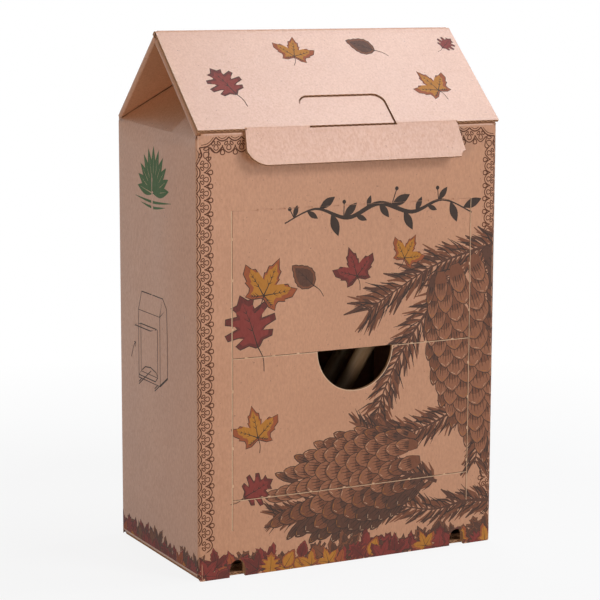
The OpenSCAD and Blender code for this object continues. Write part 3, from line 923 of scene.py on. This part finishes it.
looseLeaves = {  # panel: (kind, u, v, size, degrees, ink)
    "lid": [("oak", -53, -43, 17, 24, "rust"), ("maple", -14, -19, 13, -16, "ochre"),
            ("birch", 31, -16, 15, 62, "umber"), ("maple", 55, -44, 14, 28, "ochre"),
            ("oak", 70, -15, 9, -50, "rust")],
    "wall": [("oak", -50, 109, 24, 20, "rust"), ("maple", -47, 133, 18, -26, "ochre"),
             ("birch", -21, 136, 15, 48, "umber"), ("maple", 2, 139, 14, 18, "rust"),
             ("maple", 28, 146, 12, -30, "ochre"), ("maple", -50, 66, 15, 12, "ochre"),
             ("oak", -57, 38, 15, -64, "rust")],
}

litter = {
    "spacing": 5.2,
    "seed": 11,
    "kinds": ["maple", "maple", "oak", "birch"],
    "turn": 62,  # degrees, most that a leaf leans
    "rows": [  # (share of the spacing, lowest and highest foot, sizes, inks), from the rear to the front
        (1.0, (0.5, 6.0), (8, 11), ["umber", "wine", "brown", "umber", "rust"]),
        (1.2, (-2.0, 2.5), (8.5, 11.5), ["ochre", "rust", "ochre", "wine", "russet", "rust"]),
    ],
}


def drawLitter(draw):
    # fallen leaves round the foot: a dark row behind, a bright row in front
    chance = random.Random(litter["seed"])
    end = frontRun * 2 + 2 * arc + sideRun
    for share, heights, sizes, colors in litter["rows"]:
        count = int(2 * end / litter["spacing"] / share)
        order = list(range(count))
        chance.shuffle(order)
        for i in order:
            u = -end + 2 * end * (i + chance.uniform(-0.35, 0.35)) / count
            kind = chance.choice(litter["kinds"])
            v, size = chance.uniform(*heights), chance.uniform(*sizes)
            turn = math.radians(chance.uniform(-litter["turn"], litter["turn"]))
            drawLeaf(draw, kind, u, v, size, turn, chance.choice(colors), stem=0, fine=False)


twig = {
    "path": [(-36, 166), (-20, 172), (-3, 167), (14, 173), (32, 168), (49, 173), (66, 166)],
    "width": 2.2,
    "leaf": 11,
    "every": 3,  # points of its curve from leaf to leaf
    "lean": math.radians(48),
    "blade": 0.2,  # half width of a leaf as a share of its length
    "stalk": 0.5,
    "berry": 1.0,
}


def blade(half):
    # lance-shaped leaf of length 1
    steps = [i / 8 for i in range(9)]
    return mirrored([(half * math.sin(math.pi * t), t) for t in steps])


def drawTwig(draw):
    path = curve(twig["path"], 8)
    draw.stroke(path, spindle(twig["width"], 0.3), "line")
    for i in range(3, len(path) - 3, twig["every"]):
        u, v = path[i]
        du, dv = path[i + 1][0] - u, path[i + 1][1] - v
        side = 1 if (i // 3) % 2 else -1
        turn = math.atan2(dv, du) - math.pi / 2 + side * twig["lean"]
        size = twig["leaf"] * (0.8 + 0.25 * math.sin(i * 1.7))
        draw.fill(placed(blade(twig["blade"]), u, v, turn, size), "line")
        if i % 4 == 3:
            end = placed([(0.1 * side, 0.75)], u, v, turn + side * 0.9, size)[0]
            draw.stroke([(u, v), end], twig["stalk"], "line")
            draw.fill([polar(*end, twig["berry"], k * math.pi / 5) for k in range(10)], "line")


cones = {
    "big": {"base": (61, 143), "turn": math.radians(-158), "length": 118, "width": 60, "rows": 17,
            "scale": 9.5},
    "small": {"base": (38, 46), "turn": math.radians(101), "length": 84, "width": 40, "rows": 14,
              "scale": 7.5},
    "seed": 5,
    "girth": (0.16, 0.78, 0.72),  # a half wave's start, run and power: the outline of the cone
    "crowding": 1.25,  # scales in a row, against scales side by side
    "front": math.radians(82),  # the rows run this far round each side of the cone
    "overlap": 2.1,  # height of a scale in rows
    "lean": 0.42,  # scales at the sides point outwards
    "light": 0.5,  # radians, where round the cone the light comes from
    "paler": (0.72, 0.3),  # shades above which a scale is tan, or brown
}
needles = {
    "layers": [("umber", 2.3), ("brown", 1.5), ("line", 0.7)],  # ink and width, from the back to the front
    "spread": (22, 62),  # degrees from the stem
    "reach": (0.7, 1.0),  # shares of the full length
    "bow": (0.06, 0.08),  # radians by which a needle's middle and tip leave its straight line
}
firTwigs = [  # (points of the stem, needle length)
    ([(84, 150), (66, 147), (44, 141), (22, 130), (8, 122)], 15),
    ([(84, 118), (74, 104), (70, 84), (73, 62), (70, 40)], 13),
    ([(84, 20), (66, 22), (46, 20), (22, 24), (-2, 18)], 12),
    ([(48, 34), (28, 40), (2, 36), (-22, 28), (-42, 27)], 11),
    ([(60, 140), (40, 118), (24, 96), (14, 72), (16, 52)], 14),
    ([(84, 84), (60, 70), (40, 62), (22, 60), (4, 64)], 13),
]


def drawFir(draw, stem, length, chance):
    path = curve(stem, 8)
    out, back = needles["bow"]
    for ink, width in needles["layers"]:
        for i in range(1, len(path) - 1):
            u, v = path[i]
            along = math.atan2(path[i + 1][1] - v, path[i + 1][0] - u)
            for side in (-1, 1):
                angle = along + side * math.radians(chance.uniform(*needles["spread"]))
                reach = length * chance.uniform(*needles["reach"])
                mid = polar(u, v, reach * 0.5, angle + side * out)
                tip = polar(u, v, reach, angle - side * back)
                draw.stroke([(u, v), mid, tip], spindle(width, 0.25), ink)
    draw.stroke(path, tapered(1.8, 0.4), "umber")


def coneScale(width, height):
    half = [(0.5, 0.0), (0.86, 0.3), (1.0, 0.55), (0.8, 0.78), (0.36, 0.94)]
    rim = [(width / 2 * s, height * t) for s, t in half]
    return rim + [(0, height)] + [(-u, v) for u, v in rim[::-1]]


def drawConeScale(draw, width, height, u, v, turn, shade, chance):
    # a scale with its dark root, ridges from the root to the rim, and light on the rim
    def onScale(points):
        return placed(points, u, v, turn)

    tan, brown = cones["paler"]
    shape = onScale(coneScale(width, height))
    draw.fill(inset(shape, -0.35), "line")
    draw.fill(shape, "tan" if shade > tan else "brown" if shade > brown else "umber")
    shadow = [(a, b * 0.62) for a, b in coneScale(width * 0.96, height)]
    draw.fill(onScale(shadow), "brown" if shade > tan else "umber")
    for k in range(5):
        off = (k - 2) / 5 * width * 0.84
        ridgeLine = [(off * 0.8, height * 0.4), (off * 0.95, height * chance.uniform(0.66, 0.84))]
        draw.stroke(onScale(ridgeLine), tapered(0.62, 0.3), "line" if k % 2 else "umber")
    for side, reach in ((-1, 0.2), (1, 0.26)):
        glint = [(side * width * 0.06, height * 0.93), (side * width * reach, height * 0.84)]
        draw.stroke(onScale(glint), spindle(0.8), "pale" if chance.random() < 0.55 else "ochre")


def drawCone(draw, cone, chance):
    # rows of overlapping scales, from the tip to the base, each row from its sides to its middle
    rows, scale, turn = cone["rows"], cone["scale"], cone["turn"]
    start, run, power = cones["girth"]
    for i in reversed(range(rows)):
        t = i / (rows - 1)
        girth = cone["width"] * math.sin(math.pi * (start + run * t)) ** power
        count = max(2, round(girth / scale * cones["crowding"]))
        along = cone["length"] * 0.86 * t
        stagger = 0.5 if i % 2 else 0.0
        for j in sorted(range(count + 1), key=lambda k: -abs(k + stagger - count / 2)):
            phi = cones["front"] * (2 * (j + stagger) / count - 1)
            if abs(phi) > math.radians(84):
                continue
            width = scale * (0.45 + 0.85 * math.cos(phi)) * (0.75 + 0.35 * math.sin(math.pi * t))
            height = cone["length"] / rows * cones["overlap"]
            u, v = placed([(girth / 2 * math.sin(phi), along)], *cone["base"], turn)[0]
            shade = math.cos(phi - cones["light"]) + chance.uniform(-0.18, 0.18)
            drawConeScale(draw, width, height, u, v, turn - phi * cones["lean"], shade, chance)


def drawPicture(draw):
    chance = random.Random(cones["seed"])
    for stem, length in firTwigs:
        drawFir(draw, stem, length, chance)
    drawCone(draw, cones["small"], chance)
    drawCone(draw, cones["big"], chance)
    for kind, u, v, size, degrees, ink in looseLeaves["wall"]:
        drawLeaf(draw, kind, u, v, size, math.radians(degrees), ink)


def sideU(y):  # place on the unrolled left wall of a depth y
    return -(frontRun + arc + y + halfD - cornerR)


sprig = {
    "u": sideU(2),
    "v": 177,
    "leaf": 19,
    "leaves": 11,
    "spread": 164,  # degrees from the first leaf to the last
    "blade": 0.13,
    "lines": ((4, 22), (6.6, 15)),  # depth under the leaves and half length of the two lines
    "sag": 1.4,
}


def drawSprig(draw):
    u, v = sprig["u"], sprig["v"]
    for i in range(sprig["leaves"]):
        share = i / (sprig["leaves"] - 1) - 0.5
        turn = math.radians(sprig["spread"]) * share
        size = sprig["leaf"] * (1.2 - 0.35 * abs(share))
        draw.fill(placed(blade(sprig["blade"]), u, v, turn, size), "green")
        draw.stroke(placed([(0, 0.12), (0, 0.8)], u, v, turn, size), tapered(0.35), "pale")
    for level, half in sprig["lines"]:
        ends = v - level + sprig["sag"]
        draw.stroke(curve([(u - half, ends), (u, v - level), (u + half, ends)], 8), spindle(1.3), "green")


drawing = {  # its place on the left wall, scale, slant of the depth, and sizes in the model's millimetres
    "y": 21,
    "v": 84,
    "size": 0.165,
    "depth": (0.55, 0.32),
    "line": 0.55,
    "floor": 8,
    "door": (18, 30, 172),  # distance from the sides, foot and top
    "canopy": (8, 80, 14),  # to the left, outwards and up
    "tray": (8, 18, 8),  # to the left, outwards and down
    "feet": (20, 40, 7),  # distance from the sides, reach and thickness
    "feed": [(24, 34), (50, 48), (90, 52), (130, 44), (140, 34)],
    "arrow": [(-60, 60), (-40, 96), (-24, 110)],
}


def drawStation(draw):
    # plain line drawing of the opened carton, on its feet
    size = drawing["size"]
    du, dv = drawing["depth"]

    def put(x, y, z):
        away = y + halfD
        return (sideU(drawing["y"]) + (x + away * du) * size, drawing["v"] + (z + away * dv) * size)

    def lines(*paths):
        for path in paths:
            draw.stroke([put(*p) for p in path], drawing["line"], "line")

    w, d, e, low = 2 * halfW, halfD, eaveZ, drawing["floor"]
    side, foot, top = drawing["door"]
    lines([(0, -d, low), (0, -d, e), (w, -d, e), (w, -d, low), (0, -d, low)],
          [(w, -d, low), (w, d, low), (w, d, e), (w, -d, e)],
          [(0, -d, e), (0, 0, ridgeZ), (w, 0, ridgeZ), (w, -d, e)], [(w, 0, ridgeZ), (w, d, e)],
          [(side, -d, top), (side, -d, foot), (w - side, -d, foot), (w - side, -d, top)])
    shift, out, rise = drawing["canopy"]
    a, b = side - shift, w - side - shift
    lines([(side, -d, top), (a, -d - out, top + rise), (b, -d - out, top + rise), (w - side, -d, top),
           (side, -d, top)])
    shift, out, drop = drawing["tray"]
    a, b = side - shift, w - side - shift
    lines([(side, -d, foot), (a, -d - out, foot - drop), (b, -d - out, foot - drop), (w - side, -d, foot)],
          [(x, -d, z) for x, z in drawing["feed"]])
    away, reach, thick = drawing["feet"]
    for x in (away, w - away):
        lines([(x, -d - reach, 0), (x, d + reach, 0)], [(x, -d - reach, thick), (x, -d, thick)])
    arrow = [put(x, -d, z) for x, z in drawing["arrow"]]
    draw.stroke(curve(arrow, 5), drawing["line"], "line")
    u, v = arrow[-1]
    draw.stroke([(u - 2.2, v - 0.2), (u, v), (u - 0.6, v - 2.4)], drawing["line"], "line")


def drawWalls():
    draw = Print("wall")
    drawLace(draw)
    drawPicture(draw)
    drawTwig(draw)
    drawSprig(draw)
    drawStation(draw)
    drawLitter(draw)
    drawCutEdgeHighlights(draw)
    layPrint("print", draw)
    roof = Print("lid")
    for kind, u, v, size, degrees, ink in looseLeaves["lid"]:
        drawLeaf(roof, kind, u, v, size, math.radians(degrees), ink)
    layPrint("print", roof)


def creaseBand(name, profile, thickness, x0, x1, start, end, stepX):
    # a bent strip of board: profile is its outer line in (y, z); start and end are not used
    count = max(1, round((x1 - x0) / stepX))
    inner = []
    for i, (y, z) in enumerate(profile):
        before, after = profile[max(i - 1, 0)], profile[min(i + 1, len(profile) - 1)]
        ty, tz = after[0] - before[0], after[1] - before[1]
        length = math.hypot(ty, tz)
        inner.append((y + tz / length * thickness, z - ty / length * thickness))
    bm = bmesh.new()
    rings = []
    for k in range(count + 1):
        x = x0 + (x1 - x0) * k / count
        rings.append([bm.verts.new(soften(Vector((x, y, z))) * mm) for y, z in list(profile) + inner[::-1]])
    for a, b in zip(rings, rings[1:]):
        for i in range(len(a)):
            j = (i + 1) % len(a)
            bm.faces.new((a[i], b[i], b[j], a[j]))
    bm.faces.new(rings[0]).material_index = 1
    bm.faces.new(rings[-1][::-1]).material_index = 1
    bmesh.ops.recalc_face_normals(bm, faces=bm.faces)
    piece = newObject(name, bm, [finishes["outer"], finishes["raw"]], None, 40)
    Vector(start) * mm
    Vector(end) * mm
    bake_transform(piece)


creases = {
    "lift": 0.02,  # height above the sheets that it joins
    "ridgeReach": 3.2,
    "ridgeR": 1.7,
    "ridgeSkin": 0.9,
    "ridgeBend": (0.8, -1.6),  # y at the two ends of the ridge's fold, passed to its strip as start and end
    "tabReach": 2.6,
    "tabSkin": 0.5,
    "tabSpan": 23.4,  # the tab's crease is cut open this far to each side of the middle
    "tabEnd": 1.9,
    "tabBend": 1.2,
    "doorReach": 0.9,
    "doorFlat": 0.2,  # half the height of the fold itself
    "doorBend": 0.5,
    "doorEnd": 0.5,  # the strips end this far inside the door's side cuts
    "doorSkin": 0.12,
    "slitDepth": 0.3,
    "slitReach": 0.6,
    "perfCut": 3.4,
    "perfPitch": 7.0,
    "perfGap": 0.1,  # between a slit and the fold beside it
    "perfEnd": 0.4,
}


def ridgeFold():
    reach, r = creases["ridgeReach"], creases["ridgeR"]
    lift = creases["lift"]
    centre = ridgeZ - r / math.cos(slope)
    bend = [((r + lift) * math.sin(a), centre + (r + lift) * math.cos(a))
            for a in (2 * slope * i / 10 - slope for i in range(11))]
    tailY = reach * math.cos(slope) + lift * math.sin(slope)
    tailZ = ridgeZ - reach * math.sin(slope) + lift * math.cos(slope)
    profile = [(-tailY, tailZ)] + bend + [(tailY, tailZ)]
    start, end = creases["ridgeBend"]
    creaseBand("ridge_fold", profile, creases["ridgeSkin"], -halfW, halfW,
               (0, start, ridge.z), (0, end, ridge.z), 8)


def tabCrease():
    reach, gapHalf = creases["tabReach"], creases["tabSpan"]
    r = boardT / 2 + creases["lift"]
    upper = crease - roofDown * reach + roofOut * r
    tabDown = Vector((0, -math.sin(tabAngle), -math.cos(tabAngle)))
    lower = crease + tabDown * reach + tabOut * r
    bend = [crease + roofOut.lerp(tabOut, i / 6).normalized() * r for i in range(7)]
    profile = [(p.y, p.z) for p in [upper] + bend + [lower]]
    start, end = crease - roofDown * creases["tabBend"], crease + tabDown * creases["tabBend"]
    spans = {
        "left": (tabLow.x + creases["tabEnd"], -gapHalf),
        "right": (gapHalf, tabHigh.x - creases["tabEnd"]),
    }
    for side, (x0, x1) in spans.items():
        creaseBand("tab_crease_" + side, profile, -creases["tabSkin"], x0, x1,
                   start, end, 5)


def doorCrease(name, body, z, x0, x1, lift, reach):
    # a level strip at the fold of a door flap: the sill stands above its fold, the awning hangs below
    y = -halfD - lift
    flat = creases["doorFlat"]
    bend = -creases["doorBend"] if body == "sill" else creases["doorBend"]
    profile = [(y, z + reach), (y, z + flat), (y, z - flat), (y, z - reach)]
    creaseBand(name, profile, -creases["doorSkin"], x0, x1,
               (0, y, z + bend), (0, y, z - bend), 3)


def doorCreases():
    lift, reach, end = creases["lift"], creases["doorReach"], creases["doorEnd"]
    doorCrease("sill_crease", "sill", sillZ, doorLeft + end, doorRight - end, lift, reach)
    doorCrease("door_slits", "awning", doorTop, doorLeft + end, doorRight - end,
               -creases["slitDepth"], creases["slitReach"])
    pitch, cut, end = creases["perfPitch"], creases["perfCut"], creases["perfEnd"]
    beside = cut / 2 + creases["perfGap"]
    count = math.floor((doorRight - doorLeft - pitch - cut) / pitch)
    first = doorMid - (count - 1) * pitch / 2 - pitch
    for i in range(count + 1):
        x = first + i * pitch
        x0, x1 = max(x + beside, doorLeft + end), min(x + pitch - beside, doorRight - end)
        doorCrease("door_crease_%02d" % i, "awning", doorTop, x0, x1, lift, reach)


ridgeFold()
tabCrease()
doorCreases()

# width, rightShare, thumbWidth and thumbOff size the painted highlights where light catches the crushed bevel
# beside the door's cuts; the rest places the torn nicks
pressed = {
    "width": 0.42,
    "rightShare": 0.6,  # the painted highlight beside the right cut is a narrower line
    "thumbWidth": 0.4,
    "thumbOff": 0.2,
    "nickOff": 0.12,
    "nickLength": 1.3,
    "nickWidth": 0.84,
    "nickHeight": 0.16,
    "split": (-55.9, -41.8, -29.2, 32.3, 40.2, 55.7),  # nicks along the tear line in the middle
    "foot": (-44, -22, -4, 12, 32, 52),
    "left": (160, 141, 118, 89, 62, 44),
    "right": (141, 118, 92, 74.8, 59.2, 43),
}


def drawCutEdgeHighlights(draw):
    # painted highlights: pale lines where light catches the crushed bevel beside the door's cuts and round
    # the thumb hole
    w = pressed["width"]
    draw.stroke([(doorLeft - w / 2, sillZ), (doorLeft - w / 2, doorTop)], w, "pale")
    draw.stroke([(doorRight + w / 2, sillZ), (doorRight + w / 2, doorTop)], w * pressed["rightShare"], "pale")
    draw.stroke([(doorLeft, doorFoot - w / 2), (doorRight, doorFoot - w / 2)], w, "pale")
    for a, b in ((doorLeft, doorMid - thumb["r"]), (doorMid + thumb["r"], doorRight)):
        draw.stroke([(a, doorSplit - w / 2), (b, doorSplit - w / 2)], w, "pale")
    radius = thumb["r"] + pressed["thumbOff"]
    rim = [polar(doorMid, doorSplit, radius, -math.pi * i / 24) for i in range(25)]
    draw.stroke(rim, pressed["thumbWidth"], "pale")


def nick(bm, u, v, along):
    # a torn tuft of fibre, narrower at its top
    half, wide, thick = pressed["nickLength"] / 2, pressed["nickWidth"] / 2, pressed["nickHeight"]
    size = (half, wide) if along else (wide, half)
    top = [(-1, -1), (1, -1), (1, 1), (-1, 1)]
    verts = [bm.verts.new(wallPoint(u + a * size[0] * k, v + b * size[1] * k, h) * mm)
             for h, k in ((-0.5, 1.0), (thick * 0.6, 1.0), (thick, 0.55)) for a, b in top]
    for level in (0, 4):
        for i in range(4):
            j = (i + 1) % 4
            bm.faces.new((verts[level + i], verts[level + j], verts[level + 4 + j], verts[level + 4 + i]))
    bm.faces.new(verts[8:])
    bm.faces.new(verts[3::-1])


def nicks():
    off = pressed["nickOff"]
    groups = {
        "carton": [(doorLeft + off, v, False) for v in pressed["left"]]
        + [(doorRight - off, v, False) for v in pressed["right"]],
        "tear_panel": [(u, doorSplit, True) for u in pressed["split"]],
        "sill": [(u, doorFoot, True) for u in pressed["foot"]],
    }
    for body, places in groups.items():
        bm = bmesh.new()
        for u, v, along in places:
            nick(bm, u, v, along)
        piece = newObject("nicks_" + body, bm, [inks["torn"]], body, 60)


nicks()
drawWalls()
print("creases, pressed edges and nicks made")


dowelEnds = (6.7, 4.4)  # mm, by which the slanted ends widen a dowel's box, across and up
for name in ("front_dowel", "rear_dowel"):
    low, high = boxMm(name)
    axis = Vector((high.x - low.x - dowelEnds[0], 0, high.z - low.z - dowelEnds[1])).normalized()
    nodes[name].data.materials.clear()
    nodes[name].data.materials.append(beechDowel("beech_" + name, axis))

pouch = {
    "rows": 40,
    "columns": 64,
    "crimp": 12,  # height of the closed top, pressed into level ribs
    "crimpPitch": 3.2,
    "crimpDepth": 0.25,
    "wrinkle": 0.7,
    "gap": 0.4,  # between the paper and the walls
    "full": (0.1, 0.5, 0.42),  # shares of the height: it fills out, starts to narrow, and narrows over
    "corner": (0.55, 0.75),  # powers that make the round plan squarer
}


def feedPouch():
    low, high = boxMm("feed_pouch")
    middle, half = (low + high) / 2, (high - low) / 2
    tall = high.z - low.z
    foot, shoulder, narrowing = pouch["full"]
    powerX, powerY = pouch["corner"]
    bm = bmesh.new()
    rings = []
    for i in range(pouch["rows"] + 1):
        t = i / pouch["rows"]
        full = smooth(t / foot) ** 0.5 * (1 - smooth((t - shoulder) / narrowing)) * 0.94 + 0.05
        body = min(1, 0.9 + t * 4)
        ring = []
        for k in range(pouch["columns"]):
            a = 2 * math.pi * k / pouch["columns"]
            c, s = math.cos(a), math.sin(a)
            x = half.x * full * math.copysign(abs(c) ** powerX, c)
            y = (half.y - pouch["gap"]) * body * math.copysign(abs(s) ** powerY, s)
            fold = pouch["wrinkle"] * math.sin(9 * a + 5 * t) * math.sin(23 * t + 2 * c) * full
            if t > 1 - pouch["crimp"] / tall:
                fold = pouch["crimpDepth"] * math.sin(2 * math.pi * (t * tall) / pouch["crimpPitch"])
            ring.append(bm.verts.new(Vector((middle.x + x + fold * c, middle.y + y, low.z + t * tall)) * mm))
        rings.append(ring)
    for a, b in zip(rings, rings[1:]):
        for k in range(len(a)):
            j = (k + 1) % len(a)
            bm.faces.new((a[k], a[j], b[j], b[k]))
    bm.faces.new(rings[0][::-1])
    bm.faces.new(rings[-1])
    piece = newObject("feed_pouch_paper", bm, [finishes["pouch"]], "carton", 50)
    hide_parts("feed_pouch")


feedPouch()
print("contents made")


stage = {  # colours, and lengths in metres
    "floor": "#d0d0d0",
    "size": 6.0,
    "shadowShare": 0.13,  # how much of the real floor, and so of the shadow, the camera sees near the carton
    "shadowReach": (0.2, 0.5),  # metres from the middle, over which the floor fades to plain white
    "dim": (1, 0.97, 0.94, 1),  # light of the world on the object
    "dimStrength": 0.09,
}


def seenRays(tree):
    # 1 for the rays that show the white background: seen straight, mirrored or through glass
    ray = addNode(tree, "LightPath").outputs
    seen = ray["Is Camera Ray"]
    for other in ("Is Transmission Ray", "Is Glossy Ray"):
        seen = addNode(tree, "Math", {0: seen, 1: ray[other]}, operation="MAXIMUM").outputs[0]
    return seen


def whiteFloor():
    # matt white studio floor, which fades to plain white round the object's shadow
    material, tree, place = newMaterial("studio_white")
    far = addNode(tree, "VectorMath", {0: place}, operation="LENGTH").outputs["Value"]
    near, away = stage["shadowReach"]
    white = addNode(tree, "MapRange", {"Value": far, "From Min": near, "From Max": away,
                                       "To Min": 1 - stage["shadowShare"], "To Max": 1})
    share = addNode(tree, "Math", {0: seenRays(tree), 1: white.outputs[0]}, operation="MULTIPLY")
    shader = addNode(tree, "BsdfPrincipled", {"Base Color": hexColor(stage["floor"]), "Roughness": 0.9})
    glow = addNode(tree, "Emission", {"Color": (1, 1, 1, 1), "Strength": 1.0})
    mixed = addNode(tree, "MixShader", {0: share.outputs[0], 1: shader.outputs[0], 2: glow.outputs[0]})
    addNode(tree, "OutputMaterial", {"Surface": mixed.outputs[0]})
    bpy.ops.mesh.primitive_plane_add(size=stage["size"], location=(0, 0, 0))
    floor = bpy.context.object
    floor.name = "studio_floor"
    floor.data.materials.append(material)


def whiteWorld():
    world = bpy.data.worlds.new("studio")
    bpy.context.scene.world = world
    world.use_nodes = True
    tree = world.node_tree
    tree.nodes.clear()
    dim = addNode(tree, "Background", {"Color": stage["dim"], "Strength": stage["dimStrength"]})
    white = addNode(tree, "Background", {"Color": (1, 1, 1, 1), "Strength": 1.0})
    mixed = addNode(tree, "MixShader", {0: seenRays(tree), 1: dim.outputs[0], 2: white.outputs[0]})
    addNode(tree, "OutputWorld", {"Surface": mixed.outputs[0]})


lamps = [  # (name, place in metres, size in metres, watts, colour)
    ("top_softbox", (0.55, -0.05, 1.22), 0.5, 7.5, "#f4f8ff"),
    ("key_softbox", (0.76, -1.22, 1.0), 0.5, 13, "#f4f8ff"),
    ("front_fill", (0.35, -1.75, 0.26), 0.6, 2.5, "#ffffff"),
    ("left_fill", (-1.1, -0.95, 0.25), 0.4, 6.5, "#fff0e2"),
    ("rear_fill", (0.5, 1.7, 0.6), 0.9, 10, "#ffffff"),
]


def softboxes():
    target = Vector((0, 0, 0.12))
    for name, place, size, watts, color in lamps:
        light = bpy.data.lights.new(name, "AREA")
        light.size = size
        light.energy = watts
        light.color = hexColor(color)[:3]
        lamp = bpy.data.objects.new(name, light)
        lamp.location = place
        lamp.rotation_euler = (target - Vector(place)).to_track_quat("-Z", "Y").to_euler()
        bpy.context.scene.collection.objects.link(lamp)


view = {  # solved from the carton's corners in the photograph, for a frame of 600 x 600
    "azimuth": -27.307,
    "elevation": 9.188,
    "roll": 0.159,
    "distance": 1028.2,
    "aimAcross": -2.9,
    "aimUp": 119.1,
    "lens": 122.42,
}


def photoCamera():
    a, e, roll = (math.radians(view[key]) for key in ("azimuth", "elevation", "roll"))
    back = Vector((math.sin(a) * math.cos(e), -math.cos(a) * math.cos(e), math.sin(e)))
    across = Vector((math.cos(a), math.sin(a), 0))
    upward = back.cross(across)
    place = across * view["aimAcross"] + upward * view["aimUp"] + back * view["distance"]
    right = math.cos(roll) * across + math.sin(roll) * upward
    top = math.cos(roll) * upward - math.sin(roll) * across
    data = bpy.data.cameras.new("photo_camera")
    data.lens = view["lens"]
    data.sensor_width = 36
    data.clip_start, data.clip_end = 0.05, 20
    camera = bpy.data.objects.new("photo_camera", data)
    camera.matrix_world = Matrix((right, top, back)).transposed().to_4x4()
    camera.location = place * mm
    bpy.context.scene.collection.objects.link(camera)
    bpy.context.scene.camera = camera


whiteFloor()
whiteWorld()
softboxes()
photoCamera()
bpy.context.scene.view_settings.view_transform = "Standard"
print("stage, light and camera made")
